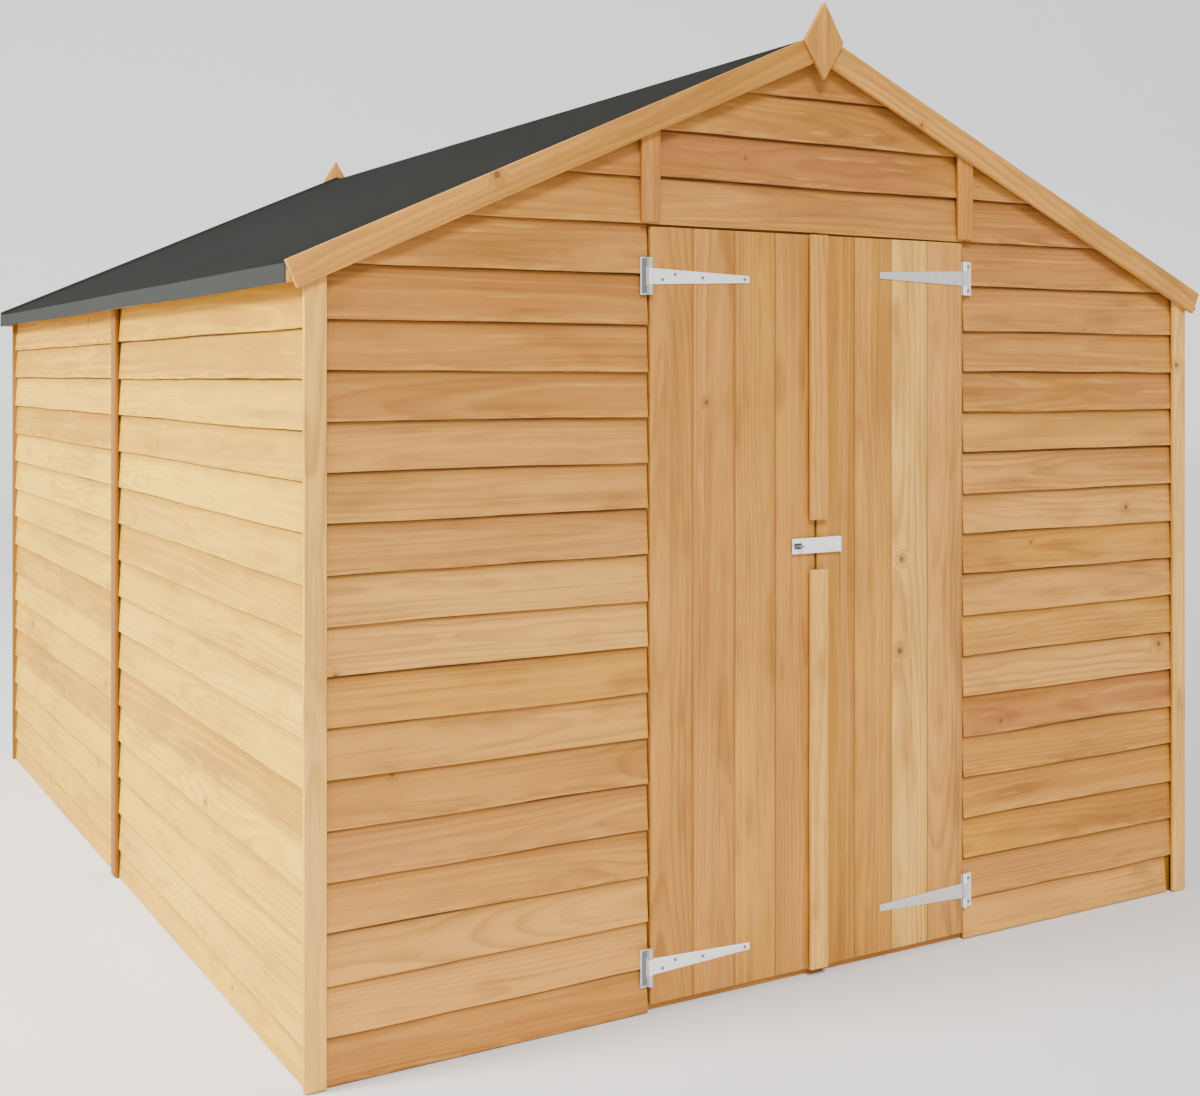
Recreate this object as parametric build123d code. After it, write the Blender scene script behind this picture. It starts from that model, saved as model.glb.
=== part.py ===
"""Wooden garden shed with overlap cladding, double doors and a felted apex roof.

Millimetres, +Z up. The origin is on the ground at the middle of the plan, and the doors face -Y.
"""
from build123d import *
import math
import os

# Walls
wall_width = 2400.0
wall_depth = 3000.0
corner_trim_overhang = 8.0
ground_gap = 3.0
panel_joint = 3.0

# Overlap boards
board_thickness = 8.0
board_lap = 18.0
course = 96.7
head_courses = 2
gable_course = 100.0
side_first_lip = 79.0

# Roof
roof_pitch_deg = 24.0
deck_ridge_height = 2092.0
deck_thickness = 9.0
eave_overhang = 36.0
eave_rail_drop = 22.0
felt_thickness = 2.5
bargeboard_width = 57.0
bargeboard_thickness = 12.0
bargeboard_rise = 5.0
bargeboard_end_reach = 1.0
finial_width = 106.0
finial_height = 174.0
finial_thickness = 12.0
finial_rise = 65.0
finial_shoulder_share = 0.5

# Framing
stud = 28.0
door_post_width = 44.0
ridge_board_depth = 44.0
purlin_depth = 44.0
purlin_place_share = 0.5
side_bays = 3
gable_bays = 2

# Floor
bearer_size = 38.0
bearer_count = 7
floor_thickness = 10.0

# Trims
trim_width = 45.0
trim_thickness = 10.0

# Doors
doorway_width = 883.0
gable_panel_height = 429.0
door_clearance = 5.0
door_ground_gap = 18.0
door_head_stop = 10.0
door_board_thickness = 11.0
door_boards = 4
door_groove_width = 4.0
door_groove_depth = 2.5
ledge_thickness = 20.0
ledge_height = 70.0
ledge_end_inset = 13.0
ledge_top_inset = 110.0
ledge_bottom_inset = 120.0
brace_width = 60.0
meeting_strip_width = 48.0
meeting_strip_thickness = 15.0
meeting_strip_relief = 5.0
strip_gap_over_hasp = 57.0
strip_gap_under_hasp = 54.0

# Tee hinges
hinge_metal = 2.5
hinge_height = 79.0
hinge_plate_reach = 22.0
strap_head_reach = 7.5
strap_reach = 256.0
strap_root_height = 34.0
strap_tip_height = 15.0
knuckle_radius = 5.0
knuckle_gap = 0.5
knuckle_back_gap = 0.3
pin_radius = 2.5
pin_clearance = 0.08
left_low_hinge_rise = 80.0
left_high_hinge_drop = 105.0
right_low_hinge_rise = 101.0
right_high_hinge_drop = 84.0

# Hasp and staple
hasp_centre_height = 964.0
hasp_height = 34.0
hasp_axis_x = 63.0
hasp_plate_end_x = 28.0
hasp_end_x = -70.0
hasp_metal = 2.5
hasp_stand_off = 5.0
hasp_knuckle_radius = 4.3
hasp_knuckle_share = 0.34
hasp_slot_left_x = -66.0
hasp_slot_right_x = -44.0
hasp_slot_height = 13.0
staple_base_left_x = -67.0
staple_base_right_x = -27.0
staple_base_height = 34.0
staple_base_thickness = 3.0
lug_left_x = -60.0
lug_right_x = -47.0
lug_thickness = 4.0
lug_reach = 24.0
lug_eye_radius = 4.0

# Sizes that follow
pitch = math.radians(roof_pitch_deg)
pitch_rise = math.tan(pitch)
half_width = wall_width / 2
gable_lip = wall_depth / 2
side_lip = half_width - corner_trim_overhang
cladding_depth = 2 * board_thickness + board_thickness * board_lap / course
side_frame = side_lip - cladding_depth
gable_frame = gable_lip - cladding_depth
side_inner = side_frame - stud
gable_inner = gable_frame - stud
trim_face = gable_lip + trim_thickness
eave = half_width + eave_overhang
deck_rise = deck_thickness / math.cos(pitch)
felt_rise = felt_thickness / math.cos(pitch)
felt_ridge_height = deck_ridge_height + deck_rise + felt_rise
rail_rise = stud / math.cos(pitch)
eave_rail_foot = deck_ridge_height - pitch_rise * eave - eave_rail_drop
ridge_foot = deck_ridge_height - pitch_rise * stud / 2 - ridge_board_depth
floor_top = bearer_size + floor_thickness
bargeboard_face = trim_face + bargeboard_thickness
doorway_edge = doorway_width / 2
doorway_head = deck_ridge_height - gable_panel_height
leaf_edge = doorway_edge - door_clearance
leaf_meeting = door_clearance / 2
leaf_top = doorway_head - door_clearance
leaf_back = gable_lip - door_board_thickness
post_edge = leaf_edge - door_board_thickness
hinge_x = doorway_edge - door_clearance / 2
hinge_y = -gable_lip - knuckle_radius - knuckle_back_gap
left_hinge_heights = (door_ground_gap + left_low_hinge_rise, leaf_top - left_high_hinge_drop)
right_hinge_heights = (door_ground_gap + right_low_hinge_rise, leaf_top - right_high_hinge_drop)
hasp_axis_y = -gable_lip - hasp_stand_off
parts_folder = "parts"


def box(x_low, x_high, y_low, y_high, z_low, z_high):
    """A block between two corners."""
    size = (x_high - x_low, y_high - y_low, z_high - z_low)
    middle = ((x_low + x_high) / 2, (y_low + y_high) / 2, (z_low + z_high) / 2)
    return Pos(*middle) * Box(*size)


def prism_along_y(outline, y_low, y_high):
    """An outline of x and z points, carried along Y."""
    face = Plane.XZ.offset(-y_low) * Polygon(*outline, align=None)
    return extrude(face, amount=y_high - y_low, dir=Axis.Y.direction)


def prism_along_x(outline, x_low, x_high):
    """An outline of y and z points, carried along X."""
    face = Plane.YZ.offset(x_low) * Polygon(*outline, align=None)
    return extrude(face, amount=x_high - x_low, dir=Axis.X.direction)


def prism_along_z(outline, z_low, z_high):
    """An outline of x and y points, carried up Z."""
    face = Plane.XY.offset(z_low) * Polygon(*outline, align=None)
    return extrude(face, amount=z_high - z_low, dir=Axis.Z.direction)


def post(x, y, radius, z_low, z_high):
    """An upright round bar."""
    height = z_high - z_low
    return Pos(x, y, z_low + height / 2) * Cylinder(radius, height)


def other_side(shape):
    """The same piece on the other side of the middle of the width."""
    return mirror(shape, about=Plane.YZ)


def at_back(shape):
    """The same piece on the other side of the middle of the depth."""
    return mirror(shape, about=Plane.XZ)


def deck_under(x):
    """Height of the underside of the roof deck at a distance from the ridge."""
    return deck_ridge_height - pitch_rise * abs(x)


def save(name, *solids):
    """Write one sub-part, with its like pieces side by side."""
    shape = solids[0] if len(solids) == 1 else Compound(list(solids))
    export_step(shape, os.path.join(parts_folder, name + ".step"))


# Overlap cladding
def gable_lips():
    """Heights of the lower edges of the boards on the two gable walls."""
    plain_courses = int(doorway_head / course) - head_courses
    lips = [course * row for row in range(plain_courses)]
    plain_top = course * plain_courses
    head_course = (doorway_head - plain_top) / head_courses
    lips += [plain_top + head_course * row for row in range(head_courses + 1)]
    while lips[-1] < deck_ridge_height:
        lips.append(lips[-1] + gable_course)
    return lips


def side_lips():
    """Heights of the lower edges of the boards on the two side walls."""
    lips = [side_first_lip - course]
    while lips[-1] < deck_under(side_frame):
        lips.append(lips[-1] + course)
    return lips


def overlap_section(lips):
    """Section of lapped boards as pairs of depth behind the lips and height."""
    front = []
    back = []
    for low, high in zip(lips[:-1], lips[1:]):
        lean = board_thickness / (high - low)
        front += [(0.0, low), (board_thickness, high)]
        back += [
            (board_thickness + lean * board_lap, low + board_lap),
            (2 * board_thickness + lean * board_lap, high + board_lap),
        ]
    back[0] = (board_thickness, lips[0])
    back[-1] = (2 * board_thickness, lips[-1])
    return front + back[::-1]


def gable_cladding(outline):
    """Lapped boards across a gable wall, cut to an outline of x and z points."""
    reach = max(abs(x) for x, z in outline)
    section = [(-gable_lip + depth, z) for depth, z in overlap_section(gable_lips())]
    boards = prism_along_x(section, -reach, reach)
    return boards & prism_along_y(outline, -gable_lip, -gable_frame)


def side_cladding(y_low, y_high):
    """Lapped boards along the right wall, cut to the roof's slope."""
    section = [(side_lip - depth, z) for depth, z in overlap_section(side_lips())]
    outline = [
        (side_frame, ground_gap),
        (side_lip, ground_gap),
        (side_lip, deck_under(side_lip)),
        (side_frame, deck_under(side_frame)),
    ]
    return prism_along_y(section, y_low, y_high) & prism_along_y(outline, y_low, y_high)


def make_side_walls():
    """Cladding, frames and cover strips of the left and right walls."""
    half_joint = panel_joint / 2
    cladding = [side_cladding(half_joint, gable_lip), side_cladding(-gable_lip, -half_joint)]
    save("right_wall_cladding", *cladding)
    save("left_wall_cladding", *[other_side(half) for half in cladding])

    rail_foot = deck_under(side_frame) - stud
    top_rail = [
        (side_inner, rail_foot),
        (side_frame, rail_foot),
        (side_frame, deck_under(side_frame)),
        (side_inner, deck_under(side_inner)),
    ]
    rails = []
    studs = []
    for y_low, y_high in ((half_joint, gable_inner), (-gable_inner, -half_joint)):
        rails.append(box(side_inner, side_frame, y_low, y_high, floor_top, floor_top + stud))
        rails.append(prism_along_y(top_rail, y_low, y_high))
        step = (y_high - y_low - stud) / side_bays
        for bay in range(side_bays + 1):
            y = y_low + step * bay
            studs.append(box(side_inner, side_frame, y, y + stud, floor_top + stud, rail_foot))
    save("right_wall_rails", *rails)
    save("left_wall_rails", *[other_side(rail) for rail in rails])
    save("right_wall_studs", *studs)
    save("left_wall_studs", *[other_side(upright) for upright in studs])

    strip_face = side_lip + trim_thickness
    half_strip = trim_width / 2
    strip = box(side_lip, strip_face, -half_strip, half_strip, ground_gap, deck_under(strip_face))
    save("right_wall_cover_strip", strip)
    save("left_wall_cover_strip", other_side(strip))


def slope_rail():
    """Sloping top rail on the right of the front gable."""
    outline = [
        (stud / 2, deck_under(stud / 2)),
        (side_frame, deck_under(side_frame)),
        (side_frame, deck_under(side_frame) - rail_rise),
        (stud / 2, deck_under(stud / 2) - rail_rise),
    ]
    return prism_along_y(outline, -gable_frame, -gable_inner)


def gable_stud(x_low, x_high, z_low):
    """Upright of the front gable frame, cut under the sloping rail or the ridge board."""
    low_head = min(deck_under(x_low) - rail_rise, ridge_foot)
    outline = [
        (x_low, z_low),
        (x_high, z_low),
        (x_high, deck_under(x_high) - rail_rise),
        (x_low, low_head),
    ]
    return prism_along_y(outline, -gable_frame, -gable_inner)


def make_back_wall():
    """Cladding, frame and cover strip of the plain gable wall."""
    half_joint = panel_joint / 2
    outline = [
        (half_joint, ground_gap),
        (side_frame, ground_gap),
        (side_frame, deck_under(side_frame)),
        (half_joint, deck_under(half_joint)),
    ]
    right = at_back(gable_cladding(outline))
    save("back_wall_cladding", right, other_side(right))

    rail = box(half_joint, side_frame, -gable_frame, -gable_inner, floor_top, floor_top + stud)
    rails = [at_back(rail), at_back(slope_rail())]
    save("back_wall_rails", *rails, *[other_side(piece) for piece in rails])

    foot = floor_top + stud
    step = (side_frame - stud - half_joint) / gable_bays
    studs = [box(half_joint, half_joint + stud, -gable_frame, -gable_inner, foot, ridge_foot)]
    for bay in range(1, gable_bays + 1):
        x = half_joint + step * bay
        studs.append(gable_stud(x, x + stud, foot))
    studs = [at_back(upright) for upright in studs]
    save("back_wall_studs", *studs, *[other_side(upright) for upright in studs])

    half_strip = trim_width / 2
    strip = [
        (-half_strip, ground_gap),
        (half_strip, ground_gap),
        (half_strip, deck_under(half_strip)),
        (0.0, deck_under(0.0)),
        (-half_strip, deck_under(half_strip)),
    ]
    save("back_wall_cover_strip", prism_along_y(strip, gable_lip, trim_face))


def make_front_wall():
    """Panels beside and over the doorway, with their frame."""
    outline = [
        (doorway_edge, ground_gap),
        (side_frame, ground_gap),
        (side_frame, deck_under(side_frame)),
        (doorway_edge, deck_under(doorway_edge)),
    ]
    right = gable_cladding(outline)
    save("front_right_cladding", right)
    save("front_left_cladding", other_side(right))

    gable_edge = doorway_edge - panel_joint
    gable = [
        (-gable_edge, doorway_head),
        (gable_edge, doorway_head),
        (gable_edge, deck_under(gable_edge)),
        (0.0, deck_under(0.0)),
        (-gable_edge, deck_under(gable_edge)),
    ]
    save("front_gable_cladding", gable_cladding(gable))

    post_outer = post_edge + door_post_width
    rail = box(post_outer, side_frame, -gable_frame, -gable_inner, floor_top, floor_top + stud)
    rails = [rail, slope_rail()]
    header_foot = leaf_top - door_head_stop
    header = box(-post_edge, post_edge, -gable_frame, -gable_inner, header_foot, header_foot + stud)
    save("front_wall_rails", *rails, *[other_side(piece) for piece in rails], header)

    middle = (post_outer + side_frame - stud) / 2
    studs = [
        gable_stud(post_edge, post_outer, floor_top),
        gable_stud(middle, middle + stud, floor_top + stud),
        gable_stud(side_inner, side_frame, floor_top + stud),
    ]
    king_foot = header_foot + stud
    king = box(-stud / 2, stud / 2, -gable_frame, -gable_inner, king_foot, ridge_foot)
    save("front_wall_studs", *studs, *[other_side(upright) for upright in studs], king)

    trim_left = hinge_x - trim_width / 2
    trim_right = hinge_x + trim_width / 2
    trim = [
        (trim_left, doorway_head + panel_joint),
        (trim_right, doorway_head + panel_joint),
        (trim_right, deck_under(trim_right)),
        (trim_left, deck_under(trim_left)),
    ]
    right_trim = prism_along_y(trim, -trim_face, -gable_lip)
    save("front_gable_trims", right_trim, other_side(right_trim))


def make_corner_trims():
    """Flat boards over the four corners, on the gable walls."""
    inner = half_width - trim_width
    outline = [
        (inner, ground_gap),
        (half_width, ground_gap),
        (half_width, deck_under(half_width)),
        (inner, deck_under(inner)),
    ]
    right = prism_along_y(outline, -trim_face, -gable_lip)
    save("front_corner_trims", right, other_side(right))
    save("back_corner_trims", at_back(right), at_back(other_side(right)))


def make_floor():
    """Bearers across the width, and the boarded floor on them."""
    step = (2 * gable_frame - bearer_size) / (bearer_count - 1)
    bearers = []
    for row in range(bearer_count):
        y = -gable_frame + step * row
        bearers.append(box(-side_frame, side_frame, y, y + bearer_size, 0.0, bearer_size))
    save("floor_bearers", *bearers)
    floor = box(-side_frame, side_frame, -gable_frame, gable_frame, bearer_size, floor_top)
    save("floor_deck", floor)


def make_roof():
    """Deck, felt, rails and purlins of both slopes."""
    deck = [
        (0.0, deck_under(0.0)),
        (eave, deck_under(eave)),
        (eave, deck_under(eave) + deck_rise),
        (0.0, deck_under(0.0) + deck_rise),
    ]
    right_deck = prism_along_y(deck, -trim_face, trim_face)
    save("roof_deck_right", right_deck)
    save("roof_deck_left", other_side(right_deck))

    felt_edge = eave + felt_thickness
    felt = [
        (0.0, deck_under(0.0) + deck_rise),
        (eave, deck_under(eave) + deck_rise),
        (eave, eave_rail_foot),
        (felt_edge, eave_rail_foot),
        (felt_edge, deck_under(felt_edge) + deck_rise + felt_rise),
        (0.0, felt_ridge_height),
    ]
    right_felt = prism_along_y(felt, -trim_face, trim_face)
    save("roof_felt_right", right_felt)
    save("roof_felt_left", other_side(right_felt))

    rail_inner = eave - stud
    rail = [
        (rail_inner, eave_rail_foot),
        (eave, eave_rail_foot),
        (eave, deck_under(eave)),
        (rail_inner, deck_under(rail_inner)),
    ]
    right_rail = prism_along_y(rail, -trim_face, trim_face)
    save("eaves_rails", right_rail, other_side(right_rail))

    purlin_left = side_inner * purlin_place_share - stud / 2
    purlin_right = purlin_left + stud
    purlin_foot = deck_under(purlin_right) - purlin_depth
    purlin = [
        (purlin_left, purlin_foot),
        (purlin_right, purlin_foot),
        (purlin_right, deck_under(purlin_right)),
        (purlin_left, deck_under(purlin_left)),
    ]
    right_purlin = prism_along_y(purlin, -gable_inner, gable_inner)
    save("roof_purlins", right_purlin, other_side(right_purlin))

    half_stud = stud / 2
    ridge = [
        (-half_stud, ridge_foot),
        (half_stud, ridge_foot),
        (half_stud, deck_under(half_stud)),
        (0.0, deck_under(0.0)),
        (-half_stud, deck_under(half_stud)),
    ]
    save("ridge_board", prism_along_y(ridge, -gable_frame, gable_frame))


def make_bargeboards():
    """Sloping boards over the roof's ends, with a diamond finial at each peak."""
    top = felt_ridge_height + bargeboard_rise
    end_x = eave + felt_thickness + bargeboard_end_reach
    end_z = top - pitch_rise * end_x
    outline = [
        (0.0, top),
        (end_x, end_z),
        (end_x - bargeboard_width * math.sin(pitch), end_z - bargeboard_width * math.cos(pitch)),
        (0.0, top - bargeboard_width / math.cos(pitch)),
    ]
    right = prism_along_y(outline, -bargeboard_face, -trim_face)
    save("front_right_bargeboard", right)
    save("front_left_bargeboard", other_side(right))
    save("back_right_bargeboard", at_back(right))
    save("back_left_bargeboard", at_back(other_side(right)))

    finial_top = top + finial_rise
    finial_foot = finial_top - finial_height
    shoulder = finial_foot + finial_height * finial_shoulder_share
    diamond = [
        (0.0, finial_top),
        (finial_width / 2, shoulder),
        (0.0, finial_foot),
        (-finial_width / 2, shoulder),
    ]
    finial = prism_along_y(diamond, -bargeboard_face - finial_thickness, -bargeboard_face)
    save("finials", finial, at_back(finial))


# Doors
def door_leaf():
    """Right leaf of upright boards, with a groove at each board joint."""
    leaf = box(leaf_meeting, leaf_edge, -gable_lip, -leaf_back, door_ground_gap, leaf_top)
    board = (leaf_edge - leaf_meeting) / door_boards
    for joint in range(1, door_boards):
        x = leaf_meeting + board * joint
        groove = [
            (x - door_groove_width / 2, -gable_lip),
            (x, -gable_lip + door_groove_depth),
            (x + door_groove_width / 2, -gable_lip),
        ]
        leaf -= prism_along_z(groove, door_ground_gap, leaf_top)
    return leaf


def ledge_feet():
    """Heights of the lower edges of the three ledges, from the bottom up."""
    lowest = door_ground_gap + ledge_bottom_inset
    highest = leaf_top - ledge_top_inset - ledge_height
    return (lowest, (lowest + highest) / 2, highest)


def make_doors():
    """Leaves, ledges and braces of both doors, and the strips over their meeting edges."""
    leaf = door_leaf()
    save("right_door_boards", leaf)
    save("left_door_boards", other_side(leaf))

    ledge_inner = leaf_meeting + ledge_end_inset
    ledge_outer = post_edge - door_clearance
    ledge_face = leaf_back - ledge_thickness
    feet = ledge_feet()
    ledges = []
    for foot in feet:
        head = foot + ledge_height
        ledges.append(box(ledge_inner, ledge_outer, -leaf_back, -ledge_face, foot, head))
    save("right_door_ledges", *ledges)
    save("left_door_ledges", *[other_side(ledge) for ledge in ledges])

    braces = []
    for low, high in zip(feet[:-1], feet[1:]):
        outline = [
            (ledge_outer - brace_width, low + ledge_height),
            (ledge_outer, low + ledge_height),
            (ledge_inner + brace_width, high),
            (ledge_inner, high),
        ]
        braces.append(prism_along_y(outline, -leaf_back, -ledge_face))
    save("right_door_braces", *braces)
    save("left_door_braces", *[other_side(brace) for brace in braces])

    half_strip = meeting_strip_width / 2
    strip_face = gable_lip + meeting_strip_thickness
    section = [
        (leaf_meeting, -gable_lip),
        (half_strip, -gable_lip),
        (half_strip, -strip_face),
        (-half_strip, -strip_face),
        (-half_strip, -gable_lip - meeting_strip_relief),
        (leaf_meeting, -gable_lip - meeting_strip_relief),
    ]
    upper = prism_along_z(section, hasp_centre_height + strip_gap_over_hasp, leaf_top)
    lower = prism_along_z(section, door_ground_gap, hasp_centre_height - strip_gap_under_hasp)
    save("meeting_strips", upper, lower)


# Tee hinges
def hinge_plate(height):
    """Fixed plate of a right hinge, with its outer knuckles and pin."""
    low = height - hinge_height / 2
    high = height + hinge_height / 2
    gap_low = height - strap_root_height / 2 - knuckle_gap
    gap_high = height + strap_root_height / 2 + knuckle_gap
    front = -gable_lip - hinge_metal
    clear = hinge_x + knuckle_radius + knuckle_gap
    plate = box(clear, hinge_x + hinge_plate_reach, front, -gable_lip, low, high)
    for z_low, z_high in ((low, gap_low), (gap_high, high)):
        tab_back = -gable_lip - knuckle_back_gap
        plate += box(hinge_x, clear, front, tab_back, z_low, z_high)
        plate += post(hinge_x, hinge_y, knuckle_radius, z_low, z_high)
    return plate + post(hinge_x, hinge_y, pin_radius, low, high)


def hinge_strap(height):
    """Tapered strap of a right hinge, with the middle knuckle."""
    front = -gable_lip - hinge_metal
    clear = hinge_x - knuckle_radius - knuckle_gap
    head = hinge_x - strap_head_reach
    tip = hinge_x - strap_reach
    half_root = strap_root_height / 2
    half_tip = strap_tip_height / 2
    half_head = hinge_height / 2
    outline = [
        (clear, height - half_head),
        (clear, height + half_head),
        (head, height + half_head),
        (head, height + half_root),
        (tip, height + half_tip),
        (tip, height - half_tip),
        (head, height - half_root),
        (head, height - half_head),
    ]
    strap = prism_along_y(outline, front, -gable_lip)
    tab_back = -gable_lip - knuckle_back_gap
    strap += box(clear, hinge_x, front, tab_back, height - half_root, height + half_root)
    strap += post(hinge_x, hinge_y, knuckle_radius, height - half_root, height + half_root)
    bore = pin_radius + pin_clearance
    return strap - post(hinge_x, hinge_y, bore, height - half_root, height + half_root)


def make_hinges():
    """Four tee hinges: the left pair sits a little lower than the right."""
    right_plates = [hinge_plate(height) for height in right_hinge_heights]
    left_plates = [other_side(hinge_plate(height)) for height in left_hinge_heights]
    save("hinge_plates", *right_plates, *left_plates)
    save("right_hinge_straps", *[hinge_strap(height) for height in right_hinge_heights])
    save("left_hinge_straps", *[other_side(hinge_strap(height)) for height in left_hinge_heights])


# Hasp and staple
def make_hasp():
    """Hinged hasp on the right leaf, which hides its own plate and closes over a staple on the left leaf."""
    low = hasp_centre_height - hasp_height / 2
    high = hasp_centre_height + hasp_height / 2
    middle = hasp_height * hasp_knuckle_share / 2
    gap_low = hasp_centre_height - middle - knuckle_gap
    gap_high = hasp_centre_height + middle + knuckle_gap
    clear = hasp_axis_x - hasp_knuckle_radius - knuckle_gap
    front = -gable_lip - hasp_metal
    plate = box(hasp_plate_end_x, clear, front, -gable_lip, low, high)
    for z_low, z_high in ((low, gap_low), (gap_high, high)):
        tab_back = -gable_lip - hasp_stand_off + hasp_knuckle_radius
        plate += box(clear, hasp_axis_x, front, tab_back, z_low, z_high)
        plate += post(hasp_axis_x, hasp_axis_y, hasp_knuckle_radius, z_low, z_high)
    plate += post(hasp_axis_x, hasp_axis_y, pin_radius, low, high)
    save("hasp_plate", plate)

    strap_front = hasp_axis_y - hasp_metal
    strap = box(hasp_end_x, clear, strap_front, hasp_axis_y, low, high)
    knuckle_low = hasp_centre_height - middle
    knuckle_high = hasp_centre_height + middle
    strap += box(clear, hasp_axis_x, strap_front, hasp_axis_y, knuckle_low, knuckle_high)
    strap += post(hasp_axis_x, hasp_axis_y, hasp_knuckle_radius, knuckle_low, knuckle_high)
    strap -= post(hasp_axis_x, hasp_axis_y, pin_radius + pin_clearance, knuckle_low, knuckle_high)
    slot_low = hasp_centre_height - hasp_slot_height / 2
    slot_high = hasp_centre_height + hasp_slot_height / 2
    strap -= box(hasp_slot_left_x, hasp_slot_right_x, strap_front, hasp_axis_y, slot_low, slot_high)
    save("hasp_strap", strap)

    base_low = hasp_centre_height - staple_base_height / 2
    base_high = hasp_centre_height + staple_base_height / 2
    base_front = -gable_lip - staple_base_thickness
    base = box(staple_base_left_x, staple_base_right_x, base_front, -gable_lip, base_low, base_high)
    lug_low = hasp_centre_height - lug_thickness / 2
    lug_high = hasp_centre_height + lug_thickness / 2
    lug_middle = (lug_left_x + lug_right_x) / 2
    nose_radius = (lug_right_x - lug_left_x) / 2
    nose_y = -gable_lip - lug_reach + nose_radius
    lug = box(lug_left_x, lug_right_x, nose_y, base_front, lug_low, lug_high)
    lug += post(lug_middle, nose_y, nose_radius, lug_low, lug_high)
    lug -= post(lug_middle, nose_y, lug_eye_radius, lug_low, lug_high)
    save("hasp_staple", base + lug)


os.makedirs(parts_folder, exist_ok=True)
make_floor()
make_side_walls()
make_back_wall()
make_front_wall()
make_corner_trims()
make_roof()
make_bargeboards()
make_doors()
make_hinges()
make_hasp()
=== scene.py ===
"""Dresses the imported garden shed: lapped boards, planed trims, boarded doors, zinc ironwork and felt."""

import math
import random

import bmesh
import bpy
from bpy.props import FloatProperty, FloatVectorProperty, IntProperty, PointerProperty
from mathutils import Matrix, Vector


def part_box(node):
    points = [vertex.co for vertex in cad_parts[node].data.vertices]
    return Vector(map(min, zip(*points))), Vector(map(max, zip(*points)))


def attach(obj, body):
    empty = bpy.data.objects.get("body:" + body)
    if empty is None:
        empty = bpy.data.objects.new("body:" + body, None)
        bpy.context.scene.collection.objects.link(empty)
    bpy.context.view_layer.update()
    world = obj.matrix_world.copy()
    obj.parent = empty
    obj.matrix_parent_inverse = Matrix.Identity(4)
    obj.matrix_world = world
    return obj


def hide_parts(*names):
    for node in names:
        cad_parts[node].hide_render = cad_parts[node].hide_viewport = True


bl_info = {
    "name": "Garden Shed",
    "version": (1, 0, 0),
    "blender": (4, 5, 0),
    "location": "3D View > Sidebar > Shed",
    "description": "Models and finishes a lapped-board garden shed over its CAD frame",
    "category": "Object",
}

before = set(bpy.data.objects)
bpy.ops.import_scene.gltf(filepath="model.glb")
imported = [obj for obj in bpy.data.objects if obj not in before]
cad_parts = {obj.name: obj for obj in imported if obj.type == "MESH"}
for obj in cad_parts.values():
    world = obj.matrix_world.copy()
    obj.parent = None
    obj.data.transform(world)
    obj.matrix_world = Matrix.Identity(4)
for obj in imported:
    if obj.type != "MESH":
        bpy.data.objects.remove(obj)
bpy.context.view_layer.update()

# Places read from the frame
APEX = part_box("ridge_board")[1].z
GROUND_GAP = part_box("front_left_cladding")[0].z
DOOR_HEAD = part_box("front_gable_cladding")[0].z
FRONT_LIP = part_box("front_left_cladding")[0].y
BACK_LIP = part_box("back_wall_cladding")[1].y
LEFT_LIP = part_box("left_wall_cladding")[0].x
RIGHT_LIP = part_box("right_wall_cladding")[1].x
DOOR_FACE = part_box("left_door_boards")[0].y


class ShedTimberSettings(bpy.types.PropertyGroup):
    """Sizes of the boards and timbers"""

    board_thickness: FloatProperty(
        name="Board thickness", description="Thickness of a lapped board",
        default=0.008, unit="LENGTH")
    board_lap: FloatProperty(
        name="Board lap", description="How far a board runs up behind the next one",
        default=0.018, unit="LENGTH")
    course: FloatProperty(
        name="Course", description="Height from one lip to the next on the walls",
        default=0.0967, unit="LENGTH")
    gable_course: FloatProperty(
        name="Gable course", description="Height from one lip to the next above the doors",
        default=0.100, unit="LENGTH")
    head_courses: IntProperty(
        name="Head courses", description="Courses that are stretched to meet the head of the doors",
        default=2, min=1)
    side_first_lip: FloatProperty(
        name="First side lip", description="Height of the lowest full lip on the side walls",
        default=0.079, unit="LENGTH")
    panel_joint: FloatProperty(
        name="Panel joint", description="Gap between the two panels of a long wall",
        default=0.003, unit="LENGTH")
    lip_wave: FloatProperty(
        name="Lip wave", description="How far a sawn lip wanders from a straight line",
        default=0.0016, unit="LENGTH")
    board_arris: FloatProperty(
        name="Board arris", description="Rounding of a sawn board's edges",
        default=0.0009, unit="LENGTH")
    planed_arris: FloatProperty(
        name="Planed arris", description="Rounding of the edges of trims, bargeboards and frame timbers",
        default=0.0016, unit="LENGTH")
    door_boards: IntProperty(
        name="Boards in a leaf", description="Upright boards in each door leaf", default=4, min=1)
    roof_pitch: FloatProperty(
        name="Roof pitch", description="Slope of the roof", default=math.radians(24), subtype="ANGLE")
    felt_thickness: FloatProperty(
        name="Felt thickness", description="Thickness of the roofing felt", default=0.0025, unit="LENGTH")
    felt_ripple: FloatProperty(
        name="Felt ripple", description="Height of the felt's slack ripples", default=0.0012, unit="LENGTH")
    metal_arris: FloatProperty(
        name="Metal arris", description="Rounding of the edges of the hinges and the hasp",
        default=0.0005, unit="LENGTH")
    screw_radius: FloatProperty(
        name="Screw radius", description="Radius of a screw's head", default=0.0036, unit="LENGTH")


def colour_setting(name, description, default):
    """A colour setting."""
    return FloatVectorProperty(
        name=name, description=description, default=default, subtype="COLOR", size=3, min=0, max=1)


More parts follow.
